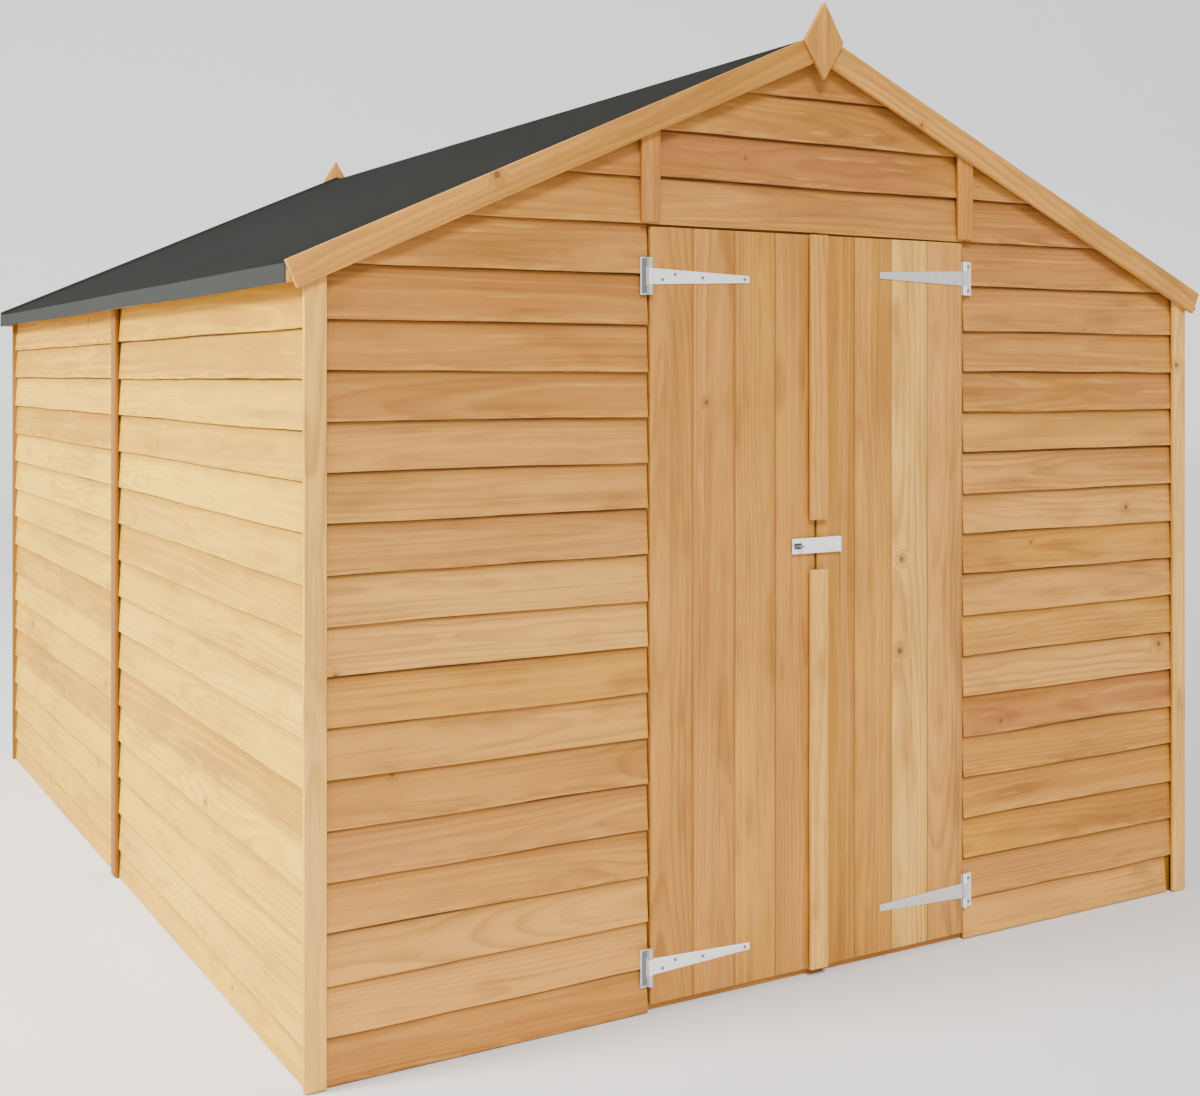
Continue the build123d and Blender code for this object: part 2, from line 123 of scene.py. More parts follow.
class ShedFinishSettings(bpy.types.PropertyGroup):
    """Colours of the finishes"""

    straw_wood: colour_setting(
        name="Straw wood", description="Palest boards of the doors and of all walls but the left",
        default=(0.730, 0.355, 0.072))
    honey_wood: colour_setting(
        name="Honey wood", description="Golden boards of the doors and of all walls but the left",
        default=(0.590, 0.265, 0.022))
    tan_wood: colour_setting(
        name="Tan wood", description="Warmest boards of the doors and of all walls but the left",
        default=(0.435, 0.158, 0.042))
    # The left wall's colours are a paler, yellower copy of the other walls' wood: painted light for the lit
    # side wall
    cream_wood: colour_setting(
        name="Cream wood", description="Palest boards of the left wall",
        default=(0.920, 0.550, 0.018))
    yellow_wood: colour_setting(
        name="Yellow wood", description="Golden boards of the left wall",
        default=(0.760, 0.410, 0.006))
    amber_wood: colour_setting(
        name="Amber wood", description="Warmest boards of the left wall",
        default=(0.500, 0.220, 0.008))
    late_wood: colour_setting(
        name="Late wood", description="Colour of the dark lines in the grain",
        default=(0.240, 0.088, 0.013))
    side_late_wood: colour_setting(
        name="Side streaks", description="Dark lines and streaks of the left wall",
        default=(0.400, 0.175, 0.004))
    knot_wood: colour_setting(
        name="Knots", description="Colour of the knots",
        default=(0.130, 0.042, 0.012))
    bleached_wood: colour_setting(
        name="Bleached", description="Palest boards and trims",
        default=(0.890, 0.490, 0.100))
    felt: colour_setting(
        name="Felt", description="Colour of the roofing felt",
        default=(0.0122, 0.0126, 0.0110))
    # The strips' brown also darkens the packer beside the short board, as painted shade for that slot
    strip_wood: colour_setting(
        name="Strips", description="Browner wood of the left cover strip, back corner trims and packer",
        default=(0.215, 0.090, 0.006))
    # Painted light: the turned-down flap is painted paler, for the light from the left on it
    felt_edge: colour_setting(
        name="Felt edge", description="Paler colour of the felt where it is turned down",
        default=(0.044, 0.045, 0.042))
    # A greyer copy of the zinc, for the right door's hinge straps and screws
    dulled_zinc: colour_setting(
        name="Dulled zinc", description="Dulled zinc of the right door's hinge straps and screws",
        default=(0.600, 0.575, 0.545))
    zinc: colour_setting(
        name="Zinc", description="Colour of the plated hinges and hasp",
        default=(0.985, 0.985, 0.985))
    # The screws' dark steel also serves the staple, as painted shade for the staple in the hasp's slot
    screw: colour_setting(
        name="Screws", description="Colour of the staple and of the other screws",
        default=(0.230, 0.220, 0.205))
    strand_light: colour_setting(
        name="Light strands", description="Palest flakes of the strand board",
        default=(0.640, 0.440, 0.220))
    strand_dark: colour_setting(
        name="Dark strands", description="Darkest flakes of the strand board",
        default=(0.330, 0.180, 0.070))
    floor: colour_setting(
        name="Floor", description="Colour of the studio floor",
        default=(0.820, 0.820, 0.815))


class ShedStageSettings(bpy.types.PropertyGroup):
    """Camera and lights"""

    camera_place: FloatVectorProperty(
        name="Camera place", description="Where the camera stands",
        default=(-2.2059, -4.3608, 1.3429), subtype="TRANSLATION", size=3)
    camera_turn: FloatProperty(
        name="Camera turn", description="Heading of the level camera from straight ahead",
        default=math.radians(-29.935), subtype="ANGLE")
    lens: FloatProperty(
        name="Lens", description="Focal length in millimetres on a 36 mm sensor", default=47.89)
    frame_drop: FloatProperty(
        name="Frame drop", description="Vertical shift of the frame, as a share of its width",
        default=-0.1435)
    key_power: FloatProperty(
        name="Key light", description="Power of the soft light at the left", default=1120.0, unit="POWER")
    fill_power: FloatProperty(
        name="Fill light", description="Strength of the soft light from the front, in watts per square metre",
        default=3.35)
    surround: FloatProperty(
        name="Surround", description="Strength of the even white surround", default=0.50)
    floor_size: FloatProperty(
        name="Floor size", description="Side of the studio floor", default=60.0, unit="LENGTH")
    sweep_start: FloatProperty(
        name="Sweep start", description="How far behind the shed the floor begins to sweep up",
        default=13.0, unit="LENGTH")


class Value:
    """One socket of a finish, with arithmetic that adds Math nodes."""

    def __init__(self, finish, socket):
        self.finish = finish
        self.socket = socket

    def _math(self, operation, first, second=0.5):
        return self.finish.add("ShaderNodeMath", {"operation": operation}, {0: first, 1: second})

    def __add__(self, other):
        return self._math("ADD", self, other)

    def __sub__(self, other):
        return self._math("SUBTRACT", self, other)

    def __mul__(self, other):
        return self._math("MULTIPLY", self, other)

    def __truediv__(self, other):
        return self._math("DIVIDE", self, other)

    def root(self):
        return self._math("SQRT", self)

    def fraction(self):
        return self._math("FRACT", self)

    def below(self, limit):
        return self._math("LESS_THAN", self, limit)


class Finish:
    """A material whose nodes all come from add."""

    def __init__(self, name):
        self.material = bpy.data.materials.new(name)
        self.material.use_nodes = True
        self.tree = self.material.node_tree
        self.shader = self.tree.nodes["Principled BSDF"]

    def add(self, kind, settings=None, sockets=None, output=0):
        """Adds a node, with its settings first and then its sockets' values or links."""
        node = self.tree.nodes.new(kind)
        for key, value in (settings or {}).items():
            if key == "stops":
                self.set_stops(node.color_ramp, value)
            else:
                setattr(node, key, value)
        for key, value in (sockets or {}).items():
            self.feed(node.inputs[key], value)
        return Value(self, node.outputs[output])

    @staticmethod
    def set_stops(ramp, stops):
        while len(ramp.elements) < len(stops):
            ramp.elements.new(0.5)
        for element, (place, level) in zip(ramp.elements, stops):
            element.position = place
            element.color = (level, level, level, 1.0)

    def feed(self, socket, value):
        if isinstance(value, Value):
            self.tree.links.new(value.socket, socket)
        else:
            socket.default_value = value

    def surface(self, **inputs):
        """Feeds the shader's inputs, named with _ for a space."""
        for key, value in inputs.items():
            self.feed(self.shader.inputs[key.replace("_", " ")], value)

    def attribute(self, name):
        return self.add("ShaderNodeAttribute", {"attribute_name": name}, output="Vector")

    def place(self):
        return self.add("ShaderNodeTexCoord", output="Object")

    def split(self, vector):
        node = self.add("ShaderNodeSeparateXYZ", sockets={0: vector}).socket.node
        return [Value(self, socket) for socket in node.outputs]

    def join(self, x, y, z):
        return self.add("ShaderNodeCombineXYZ", sockets={0: x, 1: y, 2: z})

    def noise(self, vector, scale=1.0, detail=1.0, roughness=0.5):
        sockets = {"Vector": vector, "Scale": scale, "Detail": detail, "Roughness": roughness}
        return self.add("ShaderNodeTexNoise", {}, sockets)

    def ramp(self, value, *stops):
        return self.add("ShaderNodeValToRGB", {"stops": stops}, {0: value})

    def span(self, value, low, high, to_low=0.0, to_high=1.0):
        sockets = {0: value, 1: low, 2: high, 3: to_low, 4: to_high}
        return self.add("ShaderNodeMapRange", {"interpolation_type": "SMOOTHSTEP"}, sockets)

    def mix(self, factor, first, second):
        return self.add("ShaderNodeMix", {"data_type": "RGBA"}, {0: factor, 6: first, 7: second}, output=2)

    def overlay(self, body, pattern, low, high, share, tint):
        """Lays a tint over a body where a pattern is strong."""
        return self.mix(self.span(pattern, low, high) * share, body, tint)

    def bump(self, height, strength, distance):
        sockets = {"Height": height, "Strength": strength, "Distance": distance}
        return self.add("ShaderNodeBump", sockets=sockets)


def colour(value):
    return (*value, 1.0)


# Finishes

# A timber without an edge attribute counts as this far from any lip
FAR_EDGE = 1.0
# A board's place between its two tints is the fraction of its seed times this
HUE_PACE = 7.31


def softwood(name, finishes, pale, golden, warm, late_wood, knot_share=0.13, ring_gap=0.0085):
    """Dipped softwood: growth rings cut through a leaning log, streaks, blotches, scuffs, a few knots, and
    painted shade and a painted highlight at the lips.
    """
    wood = Finish(name)
    along, across, depth = wood.split(wood.attribute("grain"))
    seed, tone, lean = wood.split(wood.attribute("board"))
    above_lip, under_next, _ = wood.split(wood.attribute("edge"))
    above_lip = above_lip + FAR_EDGE
    under_next = under_next + FAR_EDGE
    far = along + seed

    def grained(length_scale, width_scale, detail=1.0):
        spot = wood.join(far * length_scale, across * width_scale, depth * width_scale)
        return wood.noise(spot, detail=detail)

    # Knots stand in the cells of a coarse pattern, and the rings part round them
    ripple = grained(9.0, 26.0)
    knot_cell = 0.21
    cells = wood.join(along / knot_cell + seed * 3.7, across / knot_cell + seed * 1.3, 0.0)
    knots = wood.add("ShaderNodeTexVoronoi", {"voronoi_dimensions": "2D"}, {"Vector": cells, "Scale": 1.0})
    chance, girth, _ = wood.split(Value(wood, knots.socket.node.outputs["Color"]))
    near = knots / (girth * 0.026 + 0.014) + (ripple - 0.5) * 0.9
    present = chance.below(knot_share)
    knot = wood.span(near, 0.55, 1.25, 1.0, 0.0) * present
    halo = wood.span(near, 0.6, 4.6, 1.0, 0.0) * present

    # Rings of the log, pushed about by slow wandering
    slow = grained(1.3, 5.0)
    heart = depth + lean * along + (slow - 0.5) * 0.060 + (ripple - 0.5) * 0.006
    radius = (across * across + heart * heart).root() + halo * 0.016
    rings = wood.ramp((radius / ring_gap).fraction(), (0.0, 0.0), (0.40, 0.15), (0.82, 1.0), (1.0, 0.0))

    clouds = grained(1.7, 9.0, 2.0)
    patches = grained(2.3, 6.0, 1.0)
    blots = grained(5.5, 19.0, 2.0)
    bands = grained(0.8, 34.0, 2.0)
    streaks = grained(2.8, 130.0, 2.0)
    scuffs = grained(6.0, 62.0)
    lip_mottle = grained(11.0, 90.0, 2.0)
    ticks = grained(26.0, 330.0, 2.0)

    broad_rings = (radius / (ring_gap * 2.3)).fraction()
    flames = wood.ramp(broad_rings, (0.0, 0.0), (0.30, 0.0), (0.55, 1.0), (0.75, 0.0))

    late = colour(late_wood)
    palest = colour(pale)
    hue = (seed * HUE_PACE).fraction()
    own_tint = wood.mix(hue, colour(golden), colour(warm))
    other_tint = wood.mix(hue, colour(warm), colour(golden))
    body = wood.mix(tone, palest, own_tint)
    body = wood.mix(wood.span(tone, 0.0, -1.0), body, colour(finishes.bleached_wood))
    body = wood.overlay(body, tone, 1.0, 2.0, 0.45, late)
    body = wood.mix(wood.span(patches, 0.40, 0.66) * wood.span(tone, 0.0, 1.0) * 0.45, body, other_tint)
    body = wood.overlay(body, clouds, 0.42, 0.74, 0.40, late)
    body = wood.overlay(body, blots, 0.50, 0.80, 0.48, late)
    body = wood.overlay(body, bands, 0.50, 0.76, 0.40, palest)
    body = wood.mix(flames * wood.span(slow, 0.62, 0.40) * 0.38, body, palest)
    body = wood.mix(rings * (wood.span(slow, 0.30, 0.70) * 0.34 + 0.08), body, late)
    body = wood.overlay(body, streaks, 0.52, 0.78, 0.36, late)
    body = wood.overlay(body, scuffs, 0.64, 0.78, 0.38, palest)
    body = wood.overlay(body, ticks, 0.58, 0.80, 0.24, late)
    body = wood.mix(halo * 0.34, body, late)
    body = wood.mix(knot * 0.75, body, colour(finishes.knot_wood))

    # Lips are rubbed pale, partly as wear and partly as a painted highlight, and the wood close under the
    # next lip gets painted shade
    rubbed_and_highlit = wood.span(above_lip, 0.002, 0.024, 1.0, 0.0) * wood.span(lip_mottle, 0.46, 0.66)
    body = wood.mix(rubbed_and_highlit * 0.50, body, palest)
    shade = colour([level * 0.45 for level in finishes.knot_wood])
    # Painted shade: a soft darkening over about 30 mm below each next lip
    body = wood.mix(wood.span(under_next, 0.002, 0.030, 1.0, 0.0) * 0.42, body, late)
    # Painted shade: a dark line about 5 mm tall just under each next lip
    tucked_shade = wood.span(under_next + (lip_mottle - 0.5) * 0.006, 0.0, 0.0048, 1.0, 0.0)
    body = wood.mix(tucked_shade * 0.80, body, shade)
    # Painted shade on the lip's own underside, the lowest 0.8 mm of each board
    beneath_shade = wood.span(above_lip, 0.0001, 0.0008, 1.0, 0.0)
    body = wood.mix(beneath_shade * 0.50, body, shade)

    relief = streaks + ticks * 0.8
    wood.surface(
        Base_Color=body,
        Roughness=ticks * 0.16 + 0.54,
        Specular_IOR_Level=0.28,
        Normal=wood.bump(relief, 0.30, 0.0008),
    )
    return wood.material


def strand_board(name, finishes):
    """Pressed flakes of wood, each with its own shade."""
    board = Finish(name)
    x, y, z = board.split(board.place())
    wander = board.noise(board.place(), scale=30.0, detail=1.0)
    shade = None
    for stretch, turn in (((16.0, 62.0), 0.35), ((58.0, 15.0), -0.20), ((30.0, 44.0), 0.9)):
        u = x * math.cos(turn) + y * math.sin(turn)
        v = y * math.cos(turn) - x * math.sin(turn)
        spot = board.join(u * stretch[0] + wander * 1.6, v * stretch[1] + wander * 1.6, z * 24.0)
        flakes = board.add("ShaderNodeTexVoronoi", {}, {"Vector": spot, "Scale": 1.0}, output="Color")
        level = board.split(flakes)[0]
        shade = level if shade is None else shade * 0.55 + level * 0.45
    fine = board.noise(board.place(), scale=420.0, detail=2.0)
    flake_tint = board.span(shade, 0.15, 0.85)
    body = board.mix(flake_tint, colour(finishes.strand_dark), colour(finishes.strand_light))
    body = board.overlay(body, fine, 0.5, 0.8, 0.25, colour(finishes.strand_dark))
    board.surface(
        Base_Color=body,
        Roughness=fine * 0.2 + 0.6,
        Specular_IOR_Level=0.25,
        Normal=board.bump(shade + fine * 0.3, 0.35, 0.0012),
    )
    return board.material


def mineral_felt(name, finishes):
    """Roofing felt with a fine mineral face and faint streaks down the slope."""
    felt = Finish(name)
    place = felt.place()
    x, y, z = felt.split(place)
    grit = felt.noise(place, scale=900.0, detail=2.0, roughness=0.7)
    streaks = felt.noise(felt.join(x * 1.2, y * 16.0, z * 1.2), detail=3.0)
    clouds = felt.noise(place, scale=2.6, detail=2.0)
    dark = [level * 0.62 for level in finishes.felt]
    light = [level * 1.75 for level in finishes.felt]
    body = felt.mix(felt.span(grit, 0.35, 0.70), colour(dark), colour(light))
    body = felt.overlay(body, streaks, 0.40, 0.75, 0.30, colour(light))
    body = felt.overlay(body, clouds, 0.45, 0.75, 0.25, colour(dark))
    # Painted light: where the felt turns down into the flap it is painted paler
    turned, _, _ = felt.split(felt.attribute("turned"))
    body = felt.overlay(body, turned, 0.30, 1.0, 0.85, colour(finishes.felt_edge))
    felt.surface(
        Base_Color=body,
        Roughness=grit * 0.10 + 0.86,
        Specular_IOR_Level=0.06,
        Normal=felt.bump(grit, 0.45, 0.0008),
    )
    return felt.material


def zinc_plate(name, tint, rough):
    """Zinc-plated steel with a faint spangle and dulled patches."""
    zinc = Finish(name)
    place = zinc.place()
    spangle = zinc.add("ShaderNodeTexVoronoi", {}, {"Vector": place, "Scale": 240.0}, output="Color")
    grain = zinc.split(spangle)[0]
    cloud = zinc.noise(place, scale=70.0, detail=3.0)
    greyer = [level * 0.84 for level in tint]
    body = zinc.mix(grain * 0.25 + zinc.span(cloud, 0.45, 0.75) * 0.30, colour(tint), colour(greyer))
    # Painted shade: the hinge plates' trays and knuckles darken toward a deep grey
    tray, _, _ = zinc.split(zinc.attribute("tray"))
    body = zinc.mix(tray, body, colour([level * 0.17 for level in tint]))
    zinc.surface(
        Base_Color=body,
        Metallic=0.20,
        Roughness=cloud * 0.18 + grain * 0.06 + rough,
        Normal=zinc.bump(cloud, 0.08, 0.0004),
    )
    return zinc.material


def studio_floor(name, finishes):
    """Plain pale floor with a barely seen mottle."""
    floor = Finish(name)
    mottle = floor.noise(floor.place(), scale=0.8, detail=2.0)
    pale = [min(1.0, level * 1.03) for level in finishes.floor]
    floor.surface(
        Base_Color=floor.mix(mottle, colour(finishes.floor), colour(pale)),
        Roughness=mottle * 0.1 + 0.75,
        Specular_IOR_Level=0.2,
    )
    return floor.material


def finish_named(name, maker, *values):
    """The finish of that name, made the first time it is asked for."""
    found = bpy.data.materials.get(name)
    return found if found else maker(name, *values)


def dipped_wood(context):
    """Orange-tan wood of most walls, trims, doors and the frame."""
    tints = context.scene.shed_finish
    return finish_named(
        "dipped_softwood", softwood, tints, tints.straw_wood, tints.honey_wood, tints.tan_wood,
        tints.late_wood)


def lit_side_wood(context):
    """Yellower, paler copy of the wood for the left wall, as painted light for the key light falling on that
    side.
    """
    tints = context.scene.shed_finish
    return finish_named(
        "side_softwood", softwood, tints, tints.cream_wood, tints.yellow_wood, tints.amber_wood,
        tints.side_late_wood)


def strip_finish(context):
    """Browner wood of the left cover strip and the back corner trims, also used on the packer as painted
    shade for the shadowed slot.
    """
    tints = context.scene.shed_finish
    pale = [level * 1.25 for level in tints.strip_wood]
    return finish_named(
        "strip_softwood", softwood, tints, pale, tints.strip_wood, tints.strip_wood, tints.late_wood)


# Mesh helpers

def edit_mesh(piece):
    """Makes the piece the only selected one and opens all of it for editing."""
    pick_only(piece)
    bpy.ops.object.mode_set(mode="EDIT")
    bpy.ops.mesh.select_all(action="SELECT")


def leave_edit():
    bpy.ops.object.mode_set(mode="OBJECT")


def pick_only(*pieces):
    bpy.ops.object.select_all(action="DESELECT")
    for piece in pieces:
        piece.select_set(True)
    bpy.context.view_layer.objects.active = pieces[0]


def new_copy(source, name):
    """A free-standing copy with its own mesh."""
    piece = bpy.data.objects.new(name, source.data.copy())
    bpy.context.scene.collection.objects.link(piece)
    return piece


def join_as(name, pieces):
    pick_only(*pieces)
    if len(pieces) > 1:
        bpy.ops.object.join()
    joined = bpy.context.view_layer.objects.active
    joined.name = name
    joined.data.name = name
    return joined


def remove(piece):
    mesh = piece.data
    bpy.data.objects.remove(piece)
    bpy.data.meshes.remove(mesh)


def new_block(middle, size):
    """A box of that size round that middle."""
    bpy.ops.object.select_all(action="DESELECT")
    bpy.ops.mesh.primitive_cube_add(size=1, location=middle, scale=size)
    block = bpy.context.object
    bpy.ops.object.transform_apply(location=True, rotation=True, scale=True)
    return block


def edit_chosen(piece, mode, parts, wanted):
    """Opens a piece for editing with only the wanted edges or faces selected."""
    edit_mesh(piece)
    bpy.ops.mesh.select_all(action="DESELECT")
    bpy.ops.mesh.select_mode(type=mode)
    leave_edit()
    for part in parts:
        part.select = wanted(part)
    bpy.ops.object.mode_set(mode="EDIT")


def cut_away(piece, point, normal):
    """Cuts off what stands beyond a plane and closes the cut."""
    edit_mesh(piece)
    bpy.ops.mesh.bisect(plane_co=point, plane_no=normal, use_fill=True, clear_outer=True)
    leave_edit()


def turn_outward(piece):
    edit_mesh(piece)
    bpy.ops.mesh.normals_make_consistent(inside=False)
    leave_edit()


# Edges shorter than this are closed up after rounding
SLIVER = 0.000002
ARRIS_ANGLE = math.radians(40)
SMOOTH_ANGLE = math.radians(35)


def round_edges(piece, width):
    """Rounds a piece's sharp edges and smooths its gentle ones."""
    pick_only(piece)
    bevel = piece.modifiers.new("arris", "BEVEL")
    bevel.width = width
    bevel.segments = 2
    bevel.limit_method = "ANGLE"
    bevel.angle_limit = ARRIS_ANGLE
    bpy.ops.object.modifier_apply(modifier=bevel.name)
    edit_mesh(piece)
    bpy.ops.mesh.dissolve_degenerate(threshold=SLIVER)
    leave_edit()
    bpy.ops.object.shade_smooth_by_angle(angle=SMOOTH_ANGLE)


def wear(piece, material):
    piece.data.materials.clear()
    piece.data.materials.append(material)


def hand_in(piece, body, slot, material, *nodes):
    """Gives the piece its finish and its body, and hides the CAD nodes it stands for."""
    wear(piece, material)
    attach(piece, body)
    if nodes:
        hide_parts(*nodes)


def set_vectors(mesh, name, vectors):
    layer = mesh.attributes.get(name) or mesh.attributes.new(name, "FLOAT_VECTOR", "POINT")
    layer.data.foreach_set("vector", [number for vector in vectors for number in vector])


# Limits of a board's place in its log: sideways, out from the heart, and the log's lean
LOG_SIDES = (-0.045, 0.045)
LOG_HEARTS = (0.018, 0.085)
LOG_LEANS = (0.004, 0.030)
# Limits of the seeds of timbers and door boards
TIMBER_SEEDS = (0.0, 60.0)


def log_place(rng):
    """Where a board was cut from its log: sideways, from the heart, and the log's lean."""
    side = rng.uniform(*LOG_SIDES)
    heart = rng.uniform(*LOG_HEARTS)
    lean = rng.choice((-1, 1)) * rng.uniform(*LOG_LEANS)
    return side, heart, lean


# Lapped walls

# Ranges of tone and of hue, for most boards and for those above the high lip, whose darker, warmer range is
# painted shade under the roof
BOARD_TINTS = ((-0.42, 1.15), (0.0, 1.0))
SHADED_HIGH_TINTS = ((0.68, 1.15), (0.60, 1.0))
HIGH_LIP = 1.25
# The front right panel's lowest board stops short, beside an upright packer in dark strip wood, which is
# painted shade for the shadowed slot
SHORT_BOARD = 0
SHORT_BOARD_GAP = 0.034
SHADE_PACKER_DEPTH_SHARE = 1.6
SHADE_PACKER_PLAY = 0.002
SHADE_PACKER_TONES = (1.0, 1.0)
# About how long a stretch of board between two cuts is, and the fewest cuts
BOARD_STEP = 0.045
LEAST_CUTS = 8
# Limits of the pace and of the size of each wave in a sawn lip, and of the waves' phase
LIP_WAVES = (((3.0, 9.0), (0.4, 1.0)), ((11.0, 22.0), (0.15, 0.45)), ((30.0, 55.0), (0.05, 0.20)))
WAVE_PHASES = (0, 6.3)
# How far a lip may be set off its line, and bow out at mid-length
LIP_SETS = (-0.0012, 0.0012)
LIP_BOWS = (-0.0008, 0.0008)
# How many whole steps a board's seed is drawn from
SEED_COUNT = 400
# A lip this little below the doors' head still counts as over the doors
LIP_SLACK = 0.001
# A board that stands this little beyond a cut is left whole
CUT_SLACK = 0.00001


def gable_lips(timber):
    """Heights of the lips on the gable walls, from the ground to the peak."""
    lips = []
    height = 0.0
    while height + timber.course * (timber.head_courses - 0.5) < DOOR_HEAD:
        lips.append(height)
        height += timber.course
    last = lips[-1]
    step = (DOOR_HEAD - last) / timber.head_courses
    lips += [last + step * count for count in range(1, timber.head_courses + 1)]
    while lips[-1] < APEX:
        lips.append(lips[-1] + timber.gable_course)
    return lips


def side_lips(timber):
    """Heights of the lips on the side walls, from below the ground to above the eaves."""
    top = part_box("left_wall_cladding")[1].z
    lips = [timber.side_first_lip - timber.course]
    while lips[-1] < top:
        lips.append(lips[-1] + timber.course)
    return lips


def master_board(cuts):
    """A board of unit size, cut across its length into short lengths."""
    bpy.ops.object.select_all(action="DESELECT")
    bpy.ops.mesh.primitive_cube_add(size=1)
    board = bpy.context.object
    points = board.data.vertices

    def runs_along(edge):
        return abs(points[edge.vertices[0]].co.x - points[edge.vertices[1]].co.x) > 0.5

    edit_chosen(board, "EDGE", board.data.edges, runs_along)
    bpy.ops.mesh.subdivide(number_cuts=cuts)
    leave_edit()
    return board


def lapped_board(master, name, place, ends, lip, next_lip, tints, timber, rng, lipped):
    """One leaning board between two lips, with a wandering sawn lower edge."""
    board = new_copy(master, name)
    start, end = ends
    length = end - start
    exposure = next_lip - lip
    height = exposure + timber.board_lap
    waves = [(rng.uniform(*paces), rng.uniform(*WAVE_PHASES), rng.uniform(*sizes))
             for paces, sizes in LIP_WAVES]
    set_off = rng.uniform(*LIP_SETS)
    bow = rng.uniform(*LIP_BOWS)
    side, heart, lean = log_place(rng)
    tone = rng.uniform(*tints[0])
    seed = (rng.randrange(SEED_COUNT) + rng.uniform(*tints[1])) / HUE_PACE
    grain = []
    edges = []
    for vertex in board.data.vertices:
        share = vertex.co.x + 0.5
        inner = vertex.co.y + 0.5
        upper = vertex.co.z + 0.5
        along = start + share * length
        rise = upper * height
        wander = sum(size * math.sin(pace * along + phase) for pace, phase, size in waves)
        drop = (wander * timber.lip_wave + set_off) * (1.0 - upper)
        depth = timber.board_thickness * (rise / exposure + inner)
        depth += bow * math.sin(math.pi * share) * (1.0 - upper)
        vertex.co = place(along, depth, lip + rise + drop)
        grain.append((along, rise - height / 2 + side, depth + heart))
        # Distances up from the lip and down to the next lip, for the finish's painted highlight and painted
        # shade; the top board gets no painted shade under a next lip
        edges.append((rise - FAR_EDGE, exposure - rise - FAR_EDGE if lipped else 0.0, 0.0))
    set_vectors(board.data, "grain", grain)
    set_vectors(board.data, "edge", edges)
    set_vectors(board.data, "board", [(seed, tone, lean)] * len(grain))
    return board


def trim_board(board, pitch):
    """Cuts a board where it crosses the ground's gap or a roof slope, and tells if any of it is left."""
    rise, run = math.cos(pitch), math.sin(pitch)
    for height, normal in ((GROUND_GAP, (0, 0, -1)), (APEX, (-run, 0, rise)), (APEX, (run, 0, rise))):
        point = Vector((0, 0, height))
        beyond = [(vertex.co - point).dot(Vector(normal)) for vertex in board.data.vertices]
        if min(beyond) >= 0:
            return False
        if max(beyond) > CUT_SLACK:
            cut_away(board, point, normal)
    return True


def lapped_panel(name, place, ends, lips, timber, short=None):
    """All boards of one panel, each trimmed to the ground and to the roof's slopes by itself."""
    rng = random.Random(name)
    master = master_board(cuts=max(LEAST_CUTS, int((ends[1] - ends[0]) / BOARD_STEP)))
    boards = []
    for number, (lip, next_lip) in enumerate(zip(lips, lips[1:])):
        board_ends = ends
        if short and number == short[0]:
            board_ends = (ends[0], ends[1] - short[1])
        # Boards above the high lip take darker tones as painted shade under the roof
        tints = SHADED_HIGH_TINTS if lip > HIGH_LIP else BOARD_TINTS
        lipped = next_lip < lips[-1]
        board = lapped_board(
            master, f"{name}_{number}", place, board_ends, lip, next_lip, tints, timber, rng, lipped)
        if trim_board(board, timber.roof_pitch):
            turn_outward(board)
            round_edges(board, timber.board_arris)
            boards.append(board)
        else:
            remove(board)
    remove(master)
    return join_as(name, boards)


def on_front(along, depth, z):
    return (along, FRONT_LIP + depth, z)


def on_back(along, depth, z):
    return (along, BACK_LIP - depth, z)


def on_left(along, depth, z):
    return (LEFT_LIP + depth, along, z)


def on_right(along, depth, z):
    return (RIGHT_LIP - depth, along, z)


def slot_shade_packer(end, top, timber):
    """The upright packer that fills the space beside the short board, in dark strip wood as painted shade for
    the shadowed slot.
    """
    inset = timber.board_thickness
    shade_packer = new_block(
        (end - SHORT_BOARD_GAP / 2, FRONT_LIP + inset * SHADE_PACKER_DEPTH_SHARE, (GROUND_GAP + top) / 2),
        (SHORT_BOARD_GAP - SHADE_PACKER_PLAY, inset, top - GROUND_GAP - SHADE_PACKER_PLAY))
    shade_packer.name = "short_board_packer"
    round_edges(shade_packer, timber.board_arris)
    grain_timbers(shade_packer, SHADE_PACKER_TONES)
    return shade_packer


class SHED_OT_front_boards(bpy.types.Operator):
    """Boards the front wall in three panels"""

    bl_idname = "shed.front_boards"
    bl_label = "Front boards"

    def execute(self, context):
        timber = context.scene.shed_timber
        lips = gable_lips(timber)
        over_doors = [lip for lip in lips if lip > DOOR_HEAD - LIP_SLACK]
        finish = dipped_wood(context)
        for node, panel_lips in (("front_left_cladding", lips), ("front_right_cladding", lips),
                                 ("front_gable_cladding", over_doors)):
            low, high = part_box(node)
            short = (SHORT_BOARD, SHORT_BOARD_GAP) if node == "front_right_cladding" else None
            panel = lapped_panel(node.replace("cladding", "boards"), on_front, (low.x, high.x),
                                 panel_lips, timber, short)
            hand_in(panel, "shed", "cladding", finish, node)
        # The packer in the slot beside the short board is painted shade in dark strip wood
        shade_packer = slot_shade_packer(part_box("front_right_cladding")[1].x, lips[SHORT_BOARD + 1], timber)
        hand_in(shade_packer, "shed", "cladding", strip_finish(context))
        return {"FINISHED"}


